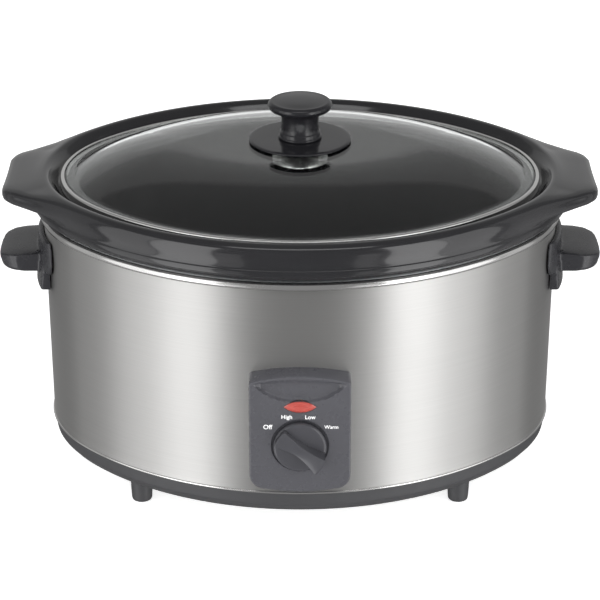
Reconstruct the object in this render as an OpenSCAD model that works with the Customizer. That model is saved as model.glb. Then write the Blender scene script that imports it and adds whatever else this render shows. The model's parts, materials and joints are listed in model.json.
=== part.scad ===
// Oval slow cooker: heated base with a steel casing, lift-out stoneware crock and glass lid.
// Millimetres. Z up, the floor under the feet at z = 0, the control panel faces -Y.
// Horizontal outlines are four-centre ovals. A profile swept round one is drawn with
// x = distance outside the casing's bead and y = height.

/* [Overall size] */
// Length of the casing over its rolled bead, end to end
pot_length = 370.4; // [308:0.1:450]
// Width of the casing over its rolled bead, front to back
pot_width = 292.4; // [240:0.1:352]
// Height of the base pan's underside above the floor
foot_height = 20.1; // [16:0.1:26]
// Height of the dark band of the base pan
band_height = 16.3; // [12:0.1:22]
// Height of the steel casing from its lower edge to the top of its bead
casing_height = 159.2; // [130:0.1:192]

/* [Casing] */
// Thickness of the casing's steel
casing_wall = 0.7; // [0.5:0.1:1.2]
// Radius of the rolled bead at the top of the casing
bead_r = 3; // [2.5:0.1:4]
// How far the casing's wall stands inside the bead, at its top
casing_inset = 2.6; // [2:0.1:3]
// How much further in the wall stands at its lower edge
casing_draft = 1.3; // [0:0.1:3]

/* [Base pan] */
// Wall of the moulded base pan
pan_wall = 2.6; // [2:0.1:3.5]
// How far the pan's band stands inside the bead
band_inset = 4.6; // [4.4:0.1:6]
// How far the bottom edge of the pan is bevelled in
band_bevel = 6.3; // [3:0.1:9]
// Height of the tongue that goes up inside the casing
tongue_height = 8; // [5:1:12]

/* [Heating well] */
// Distance from the bead to the outside of the well's wall
well_gap = 21; // [20:0.5:28]
// Thickness of the well's sheet
well_wall = 0.8; // [0.6:0.1:1.2]
// Height of the well's floor above the casing's lower edge
well_rise = 26.2; // [24:0.2:44]
// Width of the slope between the well's wall and its floor
well_corner = 8; // [5:1:14]
// Thickness of the wire-wound heating band
heater_t = 2.8; // [1.5:0.1:3]
// Height of the heating band
heater_height = 48; // [30:1:60]
// Thickness of the glass-wool wrap
wrap_t = 1.3; // [0.8:0.1:2]

/* [Crock] */
// Wall of the stoneware
crock_wall = 7; // [5:0.5:9]
// Gap between crock and well, at the top
crock_gap = 2.2; // [1.5:0.1:4]
// Space left under the crock in the well
crock_under = 4; // [2:0.5:10]
// Thickness of the crock's floor
crock_floor = 8; // [6:0.5:12]
// How far the crock's walls lean in over their height
crock_draft = 3; // [1:0.5:6]
// Width of the slope between the crock's wall and its floor
crock_corner = 10; // [6:1:16]
// How far the crock's lip stands outside the bead
lip_reach = 4.8; // [3:0.1:8]
// Height of the seat that the lid rests on, above the bead
seat_height = 17.3; // [14:0.1:22]
// Height of the rim's crest above the lid seat
crest_height = 10; // [8:0.5:14]
// How far inside the bead the crest's inner foot stands
crest_inset = 13.8; // [12:0.1:15]
// Distance that the lugs reach outside the bead, at each end
lug_reach = 23.4; // [16:0.1:28]
// Radius of the lugs' corners
lug_r = 24; // [18:1:30]
// Half distance between the centres of a lug's two corners
lug_half = 25; // [16:1:32]
// Thickness of a lug
lug_t = 10; // [7:0.5:13]

/* [Lid] */
// Gap between the lid's band and the crock's crest, at the seat
lid_gap = 1.4; // [0.6:0.1:3]
// Height of the steel band round the glass
lid_band_h = 6.5; // [5:0.1:9]
// Width of that band
lid_band_w = 8; // [6:0.5:12]
// Steel thickness of the band
lid_band_t = 0.8; // [0.5:0.1:1]
// Thickness of the glass
glass_t = 4; // [3:0.5:5]
// How far the glass domes up
dome_rise = 23.8; // [10:0.1:30]

/* [Lid knob] */
// Diameter of the knob's cap
knob_d = 45.4; // [36:0.1:55]
// Diameter of the knob's stem
stem_d = 27.6; // [20:0.1:33]
// Height of the knob above the disc under it
knob_height = 28.1; // [24:0.1:36]
// Thickness of the cap
cap_t = 8.5; // [7:0.5:12]
// Diameter of the disc under the knob
disc_d = 72.4; // [50:0.1:78]
// Thickness of that disc at its rim
disc_t = 2; // [1.5:0.1:3]
// Diameter of the steel washer under the glass
lid_washer_d = 40; // [24:1:50]

/* [Side handles] */
// How far each handle reaches outside the bead
handle_reach = 29.6; // [22:0.1:36]
// Width of the grip, front to back
grip_width = 56; // [44:1:80]
// Height of the grip
grip_height = 14; // [12:0.5:20]
// How far the grip's top lies below the top of the bead
grip_drop = 28.2; // [24:0.2:60]
// Width of the mounting pad that hugs the casing
pad_width = 90; // [70:1:110]
// Height of the mounting pad above the grip's top
pad_rise = 14; // [6:1:20]
// Height of the tongue below the grip
leg_drop = 11; // [6:1:20]
// Thickness of the mounting pad
pad_t = 4.5; // [3:0.5:8]

/* [Control panel] */
// Width of the panel
panel_width = 68.8; // [60:0.1:84]
// Height of the panel
panel_height = 90; // [80:0.1:104]
// Height of the panel's lower edge above the casing's lower edge
panel_lift = 7.6; // [4:0.1:14]
// How far the panel's face stands outside the bead at its middle
panel_proud = 6.8; // [5:0.1:12]
// Wall of the panel
panel_wall = 2.6; // [2:0.1:3.5]
// Height of the dial's centre above the panel's lower edge
dial_lift = 35.7; // [30:0.1:44]
// Diameter of the dial
dial_d = 36; // [28:0.5:42]
// Height of the dial's grip over its disc
dial_grip = 12; // [8:0.5:16]
// Height of the lamp's centre above the panel's lower edge
lens_lift = 64.7; // [62:0.1:72]
// Width of the lamp's lens
lens_w = 22.7; // [16:0.1:28]
// Height of the lamp's lens
lens_h = 9.4; // [7:0.1:12]

/* [Switch] */
// Width and height of the switch's housing
switch_w = 27; // [22:1:32]
// Depth of the switch's housing
switch_depth = 13; // [11:0.5:14]
// Diameter of the switch's shaft
shaft_d = 6; // [5:0.5:7]
// Diameter of the switch's threaded collar
collar_d = 10; // [9:0.5:12]

/* [Feet] */
// Diameter of a foot
foot_d = 16; // [12:0.5:20]
// Distance of the feet from the middle, along the length
foot_x = 112.9; // [90:0.1:120]
// Distance of the feet's edge inside the pan's lower edge
foot_margin = 2; // [1:0.5:10]

/* [Fasteners and cord] */
// Diameter of the handle screws
handle_screw_d = 4; // [3:0.5:5]
// Diameter of the small screws
small_screw_d = 3; // [2.5:0.5:4]
// Diameter of the stud that ties the pan to the well
stud_d = 6; // [5:1:8]
// Diameter of the hole in the cord gland
cord_hole_d = 7.2; // [6:0.1:8.5]
// Diameter of the inner wires
wire_d = 2.4; // [1.5:0.1:3]

/* [Fits] */
// Gap between pieces that lift off each other
rest_gap = 0.3; // [0.2:0.05:0.6]
// Gap between fixed pieces
fit_gap = 0.15; // [0.1:0.05:0.3]
// Radial gap of the turning shaft
shaft_gap = 0.05; // [0.02:0.01:0.1]

/* [Hidden] */
$fn = 120;

// Four-centre oval: two end arcs on the long axis, two side arcs on the short one.
// The arc centres stand in the ratio 55 to 48, whose hypotenuse is 73, so the arcs meet exactly.
oval_k = (pot_length - pot_width) / 60;
end_c = 55 * oval_k;
side_c = 48 * oval_k;
end_radius = pot_width / 2 - 25 * oval_k;
side_radius = end_radius + 73 * oval_k;
join_angle = atan2(48, 55);
join_lap = 0.005;

// Heights
casing_z = foot_height + band_height;
bead_z = casing_z + casing_height;
well_rim_z = bead_z + 1;
well_floor_z = casing_z + well_rise;
crock_rest_z = well_rim_z + rest_gap;
crock_z = well_floor_z + crock_under;
seat_z = bead_z + seat_height;
crest_z = seat_z + crest_height;
lid_z = seat_z + rest_gap;
glass_rim_z = lid_z + lid_band_h - lid_band_t - glass_t - fit_gap;
glass_top_z = glass_rim_z + glass_t + dome_rise;
disc_z = glass_top_z + fit_gap;
knob_z = disc_z + disc_t + fit_gap;
heater_z = well_floor_z + 14;

// Distances outside the bead
casing_low_x = -casing_inset - casing_draft;
well_x = -well_gap;
heater_x = well_x + fit_gap + heater_t;
strap_t = 0.5;
wrap_x = heater_x + fit_gap + strap_t + fit_gap;
crock_x = well_x - well_wall - crock_gap;
crest_in_x = -crest_inset;
lid_x = crest_in_x - lid_gap;
pan_low_x = -band_inset - band_bevel;

// Panel and dial
front_y = -pot_width / 2;
face_y = front_y - panel_proud;
panel_z = casing_z + panel_lift;
dial_z = panel_z + dial_lift;
lens_z = panel_z + lens_lift;
recess_r = dial_d / 2 + 1.4;
recess_depth = 2;
boss_t = 1.8;
recess_y = face_y + recess_depth;
switch_y = recess_y + panel_wall;
dial_y = face_y + 0.6;
dial_disc_t = 4.6;
dial_front_y = dial_y - dial_disc_t - dial_grip;
rear_y = pot_width / 2 + lip_reach;

// The frame's origin is under the middle of the whole object, so the oval sits a little back
oval_y = (-dial_front_y - rear_y) / 2;

// Handles
grip_z = bead_z - grip_drop;
handle_screw_y = 16;
handle_screw_z = grip_z - grip_height / 2;

// Cord gland
gland_r = 5.8;
gland_z = foot_height + band_height - gland_r - 1;
gland_y = pot_width / 2 - band_inset;

// Switch contacts and wires
contact_x = 8;
contact_lift = 8;
contact_y = switch_y + switch_depth + 1.8;
block_y = pot_width / 2 - 52;
block_wire_z = foot_height + pan_wall + 5;
under_well_z = well_floor_z - 10;
fuse_z = well_floor_z - well_wall - 3.2;
tag_z = well_floor_z - well_wall - fit_gap - 2.2;
heater_wire_x = pot_length / 2 + heater_x - heater_t / 2;

// Feet
foot_y = sqrt(pow(end_radius + pan_low_x - foot_d / 2 - foot_margin, 2) - pow(foot_x - end_c, 2));
foot_places = [for (sx = [-1, 1], sy = [-1, 1]) [sx * foot_x, sy * foot_y]];

// Screws of the panel
bezel_screw_places = [for (sx = [-1, 1], dz = [14, panel_height - 26])
    [sx * (panel_width / 2 - 7), panel_z + dz]];

steel = [0.78, 0.78, 0.77];
bright = [0.9, 0.9, 0.9];
plastic = [0.2, 0.2, 0.22];
glaze = [0.08, 0.08, 0.09];
brass = [0.8, 0.65, 0.35];
nylon = [0.9, 0.89, 0.84];

// Puts a piece that is drawn round the oval's centre into the object's frame
module placed() translate([0, oval_y, 0]) children();

// Sweeps a profile round the oval
module sweep_oval() {
    for (s = [0, 180]) rotate([0, 0, s]) {
        translate([end_c, 0, 0])
            rotate_extrude(angle = 2 * (join_angle + join_lap), start = -join_angle - join_lap)
            translate([end_radius, 0]) children();
        translate([0, -side_c, 0]) rotate_extrude(angle = 180 - 2 * join_angle, start = join_angle)
            translate([side_radius, 0]) children();
    }
}

// A flat plate inside the oval, bounded by two side arcs that cross at the tips. The tips stand
// the given distance outside the bead, and lens_side is that distance at the middle of a side.
function lens_radius(tip) = norm([pot_length / 2 + tip, side_c]);
function lens_side(tip) = lens_radius(tip) - side_c - pot_width / 2;

module lens_plate(tip, z, h) intersection_for(s = [-1, 1])
    translate([0, s * side_c, z]) cylinder(r = lens_radius(tip), h = h);

// A cylinder along Y, from y0 to y1
module rod_y(x, z, r, y0, y1) translate([x, y1, z]) rotate([90, 0, 0]) cylinder(r = r, h = y1 - y0);

// A cylinder along X, from x0 to x1
module rod_x(y, z, r, x0, x1) translate([x0, y, z]) rotate([0, 90, 0]) cylinder(r = r, h = x1 - x0);

// A screw along +Z, its head below the origin
module screw(d, length, head_d, head_h) {
    cylinder(d = d, h = length);
    translate([0, 0, -head_h]) cylinder(d = head_d, h = head_h);
}

// Points of a smooth curve through the given ones
function smooth(p, n = 4) = let (last = len(p) - 1) concat(
    [for (i = [0:last - 1], j = [0:n - 1]) let (
        t = j / n, a = p[max(i - 1, 0)], b = p[i], c = p[i + 1], d = p[min(i + 2, last)])
        b + ((c - a) * t + (2 * a - 5 * b + 4 * c - d) * t * t + (3 * (b - c) + d - a) * t * t * t) / 2],
    [p[last]]);

function unit(v) = v / norm(v);

// A wire through a list of points: eight-sided rings, each turned from the last without twist
module wire(route, d = wire_d) {
    path = smooth(route);
    last = len(path) - 1;
    sides = 8;
    ahead = [for (i = [0:last]) unit(path[min(i + 1, last)] - path[max(i - 1, 0)])];
    start = unit(cross(ahead[0], abs(ahead[0].z) < 0.8 ? [0, 0, 1] : [1, 0, 0]));
    across = [for (i = 0, v = start; i <= last; i = i + 1,
        v = i <= last ? unit(v - (v * ahead[i]) * ahead[i]) : v) v];
    polyhedron(
        [for (i = [0:last], k = [0:sides - 1])
            path[i] + d / 2 * (cos(k * 360 / sides) * across[i]
                + sin(k * 360 / sides) * cross(ahead[i], across[i]))],
        concat(
            [[for (k = [0:sides - 1]) k]],
            [[for (k = [sides - 1:-1:0]) last * sides + k]],
            [for (i = [0:last - 1], k = [0:sides - 1], half = [0, 1]) let (
                a = i * sides + k, b = i * sides + (k + 1) % sides)
                half == 0 ? [a, a + sides, b + sides] : [a, b + sides, b]]
        ));
}

// A hexagonal nut with a round bore, along +Z
module nut(across, bore, h) difference() {
    cylinder(d = across / cos(30), h = h, $fn = 6);
    translate([0, 0, -1]) cylinder(d = bore, h = h + 2);
}

// Casing: tapered oval wall with a rolled bead
bead_from = -acos((bead_r - casing_inset) / bead_r);
bead_to = 360 - acos((bead_r - casing_inset - casing_wall) / bead_r);
bead_steps = 24;

module outer_shell() color(steel) placed() difference() {
    sweep_oval() polygon(concat(
        [[casing_low_x - casing_wall, casing_z + fit_gap], [casing_low_x, casing_z + fit_gap]],
        [for (i = [0:bead_steps]) let (a = bead_from + (bead_to - bead_from) * i / bead_steps)
            [bead_r * cos(a) - bead_r, bead_z - bead_r + bead_r * sin(a)]]
    ));
    translate([-19, front_y - 2, dial_z - 16]) cube([38, 16, lens_z - dial_z + 24]);
    for (p = bezel_screw_places)
        rod_y(p.x, p.y, small_screw_d / 2 + fit_gap, front_y - 2, front_y + 12);
    for (s = [-1, 1], y = [-1, 1]) translate([s * (pot_length / 2 - 14), 0, 0])
        rod_x(y * handle_screw_y, handle_screw_z, handle_screw_d / 2 + fit_gap, -12, 16);
}

// Base pan: floor, band and the tongue that centres the casing
module base_pan() color(plastic) placed() difference() {
    union() {
        sweep_oval() polygon([
            [pan_low_x, foot_height], [-band_inset - 1, foot_height + 6.5],
            [-band_inset, casing_z], [casing_low_x - casing_wall - fit_gap, casing_z],
            [casing_low_x - casing_wall - fit_gap, casing_z + tongue_height],
            [casing_low_x - casing_wall - pan_wall, casing_z + tongue_height],
            [casing_low_x - casing_wall - pan_wall, foot_height + 8],
            [pan_low_x - pan_wall, foot_height + pan_wall],
            [lens_side(pan_low_x - 4) - 3, foot_height + pan_wall],
            [lens_side(pan_low_x - 4) - 3, foot_height]
        ]);
        lens_plate(pan_low_x - 4, foot_height, pan_wall);
        for (p = foot_places) translate([p.x, p.y, foot_height]) cylinder(d = foot_d - 2, h = pan_wall + 3);
        translate([0, 0, foot_height]) cylinder(d = stud_d + 22, h = 9);
    }
    for (p = foot_places) translate([p.x, p.y, foot_height - 1])
        cylinder(d = small_screw_d + 2 * fit_gap, h = pan_wall + 6);
    translate([0, 0, foot_height - 1]) cylinder(d = stud_d + 18, h = 7);
    translate([0, 0, foot_height]) cylinder(d = stud_d + 2 * fit_gap, h = 12);
    rod_y(0, gland_z, gland_r + fit_gap, pot_width / 2 - 24, pot_width / 2);
}

// Feet: tapered, each with a screw hole and a socket for its pad
module feet() color(plastic) placed() for (p = foot_places) translate([p.x, p.y, 0]) difference() {
    union() {
        translate([0, 0, 2.2]) cylinder(d1 = foot_d - 1.6, d2 = foot_d, h = foot_height - 2.2 - fit_gap);
        translate([0, 0, 0.4]) cylinder(d1 = foot_d - 5, d2 = foot_d - 1.6, h = 1.8);
    }
    translate([0, 0, -1]) cylinder(d = foot_d - 6 + 2 * fit_gap, h = 3);
    translate([0, 0, foot_height - 10]) cylinder(d = small_screw_d + 0.1, h = 12);
}

// Soft pads under the feet
module foot_pads() color("dimgray") placed() for (p = foot_places)
    translate([p.x, p.y, 0]) cylinder(d = foot_d - 6, h = 1.8);

// Screws that hold the feet, put in from inside the pan
module foot_screws() color(brass) placed() for (p = foot_places)
    translate([p.x, p.y, foot_height + pan_wall + 3 + fit_gap]) rotate([180, 0, 0])
        screw(small_screw_d, 12, small_screw_d * 2, 2);

// Heating well: rim over the bead, wall, sloped corner and floor
well_tip = well_x - well_wall - well_corner - 2;

module inner_liner() color(bright) placed() union() {
    sweep_oval() polygon([
        [-4, well_rim_z - well_wall], [-4, well_rim_z], [well_x - well_wall, well_rim_z],
        [well_x - well_wall, well_floor_z + well_corner],
        [well_x - well_wall - well_corner, well_floor_z],
        [lens_side(well_tip) - 3, well_floor_z], [lens_side(well_tip) - 3, well_floor_z - well_wall],
        [well_x - well_corner, well_floor_z - well_wall], [well_x, well_floor_z + well_corner - well_wall],
        [well_x, well_rim_z - well_wall]
    ]);
    lens_plate(well_tip, well_floor_z - well_wall, well_wall);
}

// Heating band round the lower part of the well
module heater_band() color("peru") placed() sweep_oval()
    translate([well_x + fit_gap, heater_z]) square([heater_t, heater_height]);

// Two steel straps that hold the band
module heater_straps() color(steel) placed() for (dz = [6, heater_height - 12]) sweep_oval()
    translate([heater_x + fit_gap, heater_z + dz]) square([strap_t, 6]);

// Glass-wool wrap outside the band
module insulation_wrap() color("ivory") placed() sweep_oval()
    translate([wrap_x, heater_z - 4]) square([wrap_t, heater_height + 8]);

// Thermal fuse under the well's floor, and the clip that holds it there
module thermal_fuse() color(nylon) placed() rod_x(-40, fuse_z, 2, 30, 46);

module fuse_clip() color(steel) placed()
        translate([34, -40, well_floor_z - well_wall - fit_gap]) difference() {
    translate([0, -6, -6.2]) cube([8, 12, 6.2]);
    rod_x(0, fit_gap - 3.2, 2 + fit_gap, -1, 9);
    translate([-1, -4.4, -9]) cube([10, 8.8, 5.8]);
}

// Stud from the well's floor to the pan, with its washer and nut
module centre_stud() color(steel) placed() union() {
    translate([0, 0, foot_height + 0.5])
        cylinder(d = stud_d, h = well_floor_z - well_wall - 2 - foot_height - 0.5);
    translate([0, 0, well_floor_z - well_wall - fit_gap - 2]) cylinder(d = stud_d + 10, h = 2);
}

module centre_washer() color(steel) placed()
        translate([0, 0, foot_height + 5 - fit_gap - 0.8 + 1]) difference() {
    cylinder(d = stud_d + 8, h = 0.8);
    translate([0, 0, -1]) cylinder(d = stud_d + 2 * fit_gap, h = 3);
}

module centre_nut() color(steel) placed() translate([0, 0, foot_height + 1.1])
    nut(stud_d + 4, stud_d + 0.1, 3.8);

// One side handle, drawn for the +X end: pad on the casing, grip with a finger hollow under it, tongue
module handle() difference() {
    union() {
        translate([end_c, 0, 0]) rotate_extrude(
            angle = 2 * asin(pad_width / 2 / end_radius), start = -asin(pad_width / 2 / end_radius))
            translate([end_radius - casing_inset + fit_gap - 1, grip_z - grip_height - 5])
                square([pad_t + 1, grip_height + 5 + pad_rise]);
        translate([pot_length / 2 - 22, -grip_width / 2, grip_z - grip_height])
            linear_extrude(grip_height) union() {
                square([handle_reach + 22 - 9, grip_width]);
                translate([0, 9]) square([handle_reach + 22, grip_width - 18]);
                for (y = [9, grip_width - 9]) translate([handle_reach + 22 - 9, y]) circle(r = 9);
            }
        translate([pot_length / 2 - 22, -grip_width / 2, grip_z - grip_height - leg_drop])
            cube([24, grip_width, leg_drop + 1]);
    }
    translate([end_c, 0, 0]) cylinder(r = end_radius - casing_inset + fit_gap, h = bead_z);
    translate([pot_length / 2 + 8, -grip_width / 2 + 4, grip_z - grip_height - 1])
        cube([handle_reach - 12, grip_width - 8, grip_height - 4 + 1]);
    for (y = [-1, 1]) rod_x(y * handle_screw_y, handle_screw_z, handle_screw_d / 2 + 0.05,
        pot_length / 2 - 10, pot_length / 2 + 6);
}

module handle_right() color(plastic) placed() handle();

module handle_left() color(plastic) placed() mirror([1, 0, 0]) handle();

// Screws and washers of the handles, inside the casing
handle_seat_x = end_c + sqrt(pow(end_radius + casing_low_x - casing_wall, 2) - pow(handle_screw_y + 5, 2)) - 0.2;

module handle_screws() color(steel) placed() for (s = [0, 1], y = [-1, 1]) mirror([s, 0, 0])
    translate([handle_seat_x - 1 - fit_gap, y * handle_screw_y, handle_screw_z]) rotate([0, 90, 0])
        screw(handle_screw_d, 12.5, handle_screw_d * 2, 2.4);

module handle_washers() color(bright) placed() for (s = [0, 1], y = [-1, 1]) mirror([s, 0, 0])
    translate([handle_seat_x - 1, y * handle_screw_y, handle_screw_z]) rotate([0, 90, 0]) difference() {
        cylinder(d = handle_screw_d + 5, h = 1);
        translate([0, 0, -1]) cylinder(d = handle_screw_d + 2 * fit_gap, h = 3);
    }

// Outline of the panel, seen from the front, its lower edge at the origin
module panel_outline(inset = 0) {
    w = panel_width / 2 - inset;
    crown_r = w * w / 9 + 2.25;
    translate([0, inset]) intersection() {
        union() {
            translate([-w, 12]) square([2 * w, panel_height - 2 * inset - 15]);
            translate([-w + 12, 0]) square([2 * w - 24, 20]);
            translate([-w + 3, 20]) square([2 * w - 6, panel_height - 2 * inset - 20]);
            for (s = [-1, 1]) translate([s * (w - 12), 12]) circle(r = 12);
            for (s = [-1, 1]) translate([s * (w - 3), panel_height - 2 * inset - 3]) circle(r = 3);
        }
        translate([0, panel_height - 2 * inset - crown_r]) circle(r = crown_r);
    }
}

// Front inner face of the casing's lower part, at a distance from the middle
function casing_inside_y(x) = side_c - sqrt(pow(side_radius + casing_low_x - casing_wall, 2) - x * x);

// Moves a front outline to a depth: it fills y0 to y1
module front_slab(y0, y1) translate([0, y1, panel_z]) rotate([90, 0, 0]) linear_extrude(y1 - y0) children();

// Pointed outline of the lamp
module lens_outline(grow = 0) {
    w = lens_w + 2 * grow;
    h = lens_h + 2 * grow;
    r = (w * w / 4 + h * h / 4) / h;
    intersection() {
        translate([0, h / 2 - r]) circle(r = r);
        translate([0, r - h / 2]) circle(r = r);
    }
}

// Panel: hollow moulded cap on the front of the casing
module control_bezel() color(plastic) placed() difference() {
    union() {
        difference() {
            front_slab(face_y, front_y + 8) panel_outline();
            front_slab(face_y + panel_wall, front_y + 9) panel_outline(panel_wall);
        }
        rod_y(0, dial_z, recess_r + boss_t, face_y, switch_y - fit_gap);
        for (p = bezel_screw_places) rod_y(p.x, p.y, small_screw_d / 2 + 2.2, face_y + 1, front_y + 9);
    }
    translate([0, side_c, 0]) cylinder(r = side_radius - casing_inset + fit_gap - 0.1, h = bead_z);
    rod_y(0, dial_z, recess_r, face_y - 1, recess_y);
    rod_y(0, dial_z, collar_d / 2 + fit_gap, face_y - 1, front_y + 9);
    front_slab(face_y - 1, front_y + 9) translate([0, lens_lift]) lens_outline(fit_gap);
    for (p = bezel_screw_places) rod_y(p.x, p.y, small_screw_d / 2 + 0.05, face_y + panel_wall, front_y + 9);
    rod_x(face_y - 24.2, panel_z + panel_height - 11, 26, -22, 22);
}

// Screws that hold the panel, put in from inside the casing
module bezel_screws() color(brass) placed() for (p = bezel_screw_places)
    translate([p.x, casing_inside_y(abs(p.x) + small_screw_d) + fit_gap, p.y])
        rotate([90, 0, 0]) screw(small_screw_d, 7.5, small_screw_d * 2 - 0.6, 1.8);

// Lens, lamp behind it and the lamp's holder
module indicator_lens() color("red") placed()
    front_slab(face_y - 1.2, face_y + 4) translate([0, lens_lift]) lens_outline();

module neon_lamp() color("orange") placed() rod_x(face_y + 7.6, lens_z, 2.6, -6, 6);

module lamp_holder() color(nylon) placed() difference() {
    translate([-lens_w / 2 + 2, face_y + 4 + fit_gap, lens_z - 5]) cube([lens_w - 4, 7.4, 10]);
    translate([-lens_w / 2 + 3.2, face_y + 4, lens_z - 3.6]) cube([lens_w - 6.4, 6.4, 7.2]);
}

// Rotary switch: housing with a threaded collar, rear cover, contacts and the collar's nut
module switch_body() color(nylon) placed() difference() {
    union() {
        translate([-switch_w / 2, switch_y, dial_z - switch_w / 2])
            cube([switch_w, switch_depth - 2, switch_w]);
        rod_y(0, dial_z, collar_d / 2, dial_y - 0.5, switch_y + 1);
    }
    rod_y(0, dial_z, switch_w / 2 - 2, switch_y + 2.5, switch_y + switch_depth);
    rod_y(0, dial_z, shaft_d / 2 + shaft_gap, dial_y - 2, switch_y + switch_depth);
}

module switch_cover() color("saddlebrown") placed()
    translate([-switch_w / 2, switch_y + switch_depth - 2 + fit_gap, dial_z - switch_w / 2])
        cube([switch_w, 1.6, switch_w]);

module switch_contacts() color(brass) placed() for (s = [-1, 1], t = [-1, 1])
    translate([s * contact_x - 0.4, switch_y + switch_depth, dial_z + t * contact_lift - 2.5])
        cube([0.8, 3.5, 5]);

module switch_nut() color(steel) placed() translate([0, recess_y - fit_gap, dial_z]) rotate([90, 0, 0])
    nut(collar_d + 4, collar_d + 0.1, 1.1);

// Terminal block and its screws, on the floor of the pan
module terminal_block() color(nylon) placed() difference() {
    translate([-16, block_y - 8, foot_height + pan_wall + fit_gap]) cube([32, 16, 13]);
    for (x = [-10, 0, 10]) rod_y(x, foot_height + pan_wall + 5, 1.8, block_y - 9, block_y + 9);
    for (x = [-10, 0, 10]) translate([x, block_y, foot_height + pan_wall + 7]) cylinder(r = 1.6, h = 8);
}

module terminal_screws() color(brass) placed() for (x = [-10, 0, 10])
    translate([x, block_y, foot_height + pan_wall + 8]) cylinder(r = 1.5, h = 5);

// Earth connection under the well's floor
module earth_stud() color(steel) placed()
    translate([-30, 30, well_floor_z - well_wall - fit_gap - 9]) cylinder(d = 4, h = 9);

module earth_tag() color(brass) placed() translate([-30, 30, tag_z]) difference() {
    union() {
        cylinder(r = 4.4, h = 0.8);
        translate([0, -3, 0]) cube([14, 6, 0.8]);
    }
    translate([0, 0, -1]) cylinder(r = 2.1, h = 3);
}

module earth_nut() color(steel) placed()
    translate([-30, 30, well_floor_z - well_wall - fit_gap - 5.6]) nut(7, 4.1, 3.2);

// Gland where the cord would leave, at the back of the pan
module cord_gland() color("black") placed() difference() {
    union() {
        rod_y(0, gland_z, gland_r, gland_y - 12, gland_y + 1);
        rod_y(0, gland_z, gland_r + 0.8, gland_y + fit_gap, gland_y + 3.5);
    }
    rod_y(0, gland_z, cord_hole_d / 2, gland_y - 14, gland_y + 6);
}

// Wires inside the base
module wire_live() color("brown") placed() wire([
    [10, block_y - 9, block_wire_z], [16, block_y - 30, block_wire_z], [60, 0, block_wire_z],
    [44, -block_y, block_wire_z], [contact_x, contact_y + 8, block_wire_z + 16],
    [contact_x, contact_y, dial_z - contact_lift - 14], [contact_x, contact_y, dial_z - contact_lift - 3]
]);

module wire_neutral() color("royalblue") placed() wire([
    [-10, block_y - 9, block_wire_z], [-16, block_y - 30, block_wire_z], [-60, 0, block_wire_z],
    [-heater_wire_x + 24, 0, block_wire_z + 14], [-heater_wire_x, 0, heater_z - 16],
    [-heater_wire_x, 0, heater_z - 0.3]
]);

module wire_earth() color("green") placed() wire([
    [0, block_y - 9, block_wire_z], [0, block_y - 24, block_wire_z + 4], [-6, 34, under_well_z],
    [-15.4, 30, tag_z + 0.4]
], 1.8);

module wire_heater() color("white") placed() wire([
    [-contact_x, contact_y, dial_z - contact_lift - 3], [-contact_x, contact_y, dial_z - contact_lift - 14],
    [-contact_x - 4, contact_y + 16, under_well_z - 4], [14, -60, under_well_z], [20, -40, fuse_z - 1],
    [29.4, -40, fuse_z]
]);

module wire_fuse() color("white") placed() wire([
    [47.4, -40, fuse_z], [52, -40, fuse_z], [58, -38, fuse_z - 2], [heater_wire_x - 30, -4, under_well_z],
    [heater_wire_x, 0, heater_z - 16], [heater_wire_x, 0, heater_z - 0.3]
]);

module wire_lamp() color("white") placed() wire([
    [-contact_x, contact_y, dial_z + contact_lift + 3], [-contact_x, contact_y, lens_z - 5],
    [-6, contact_y - 3, lens_z - 1], [-6, face_y + 12.6, lens_z]
], 1.6);

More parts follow.
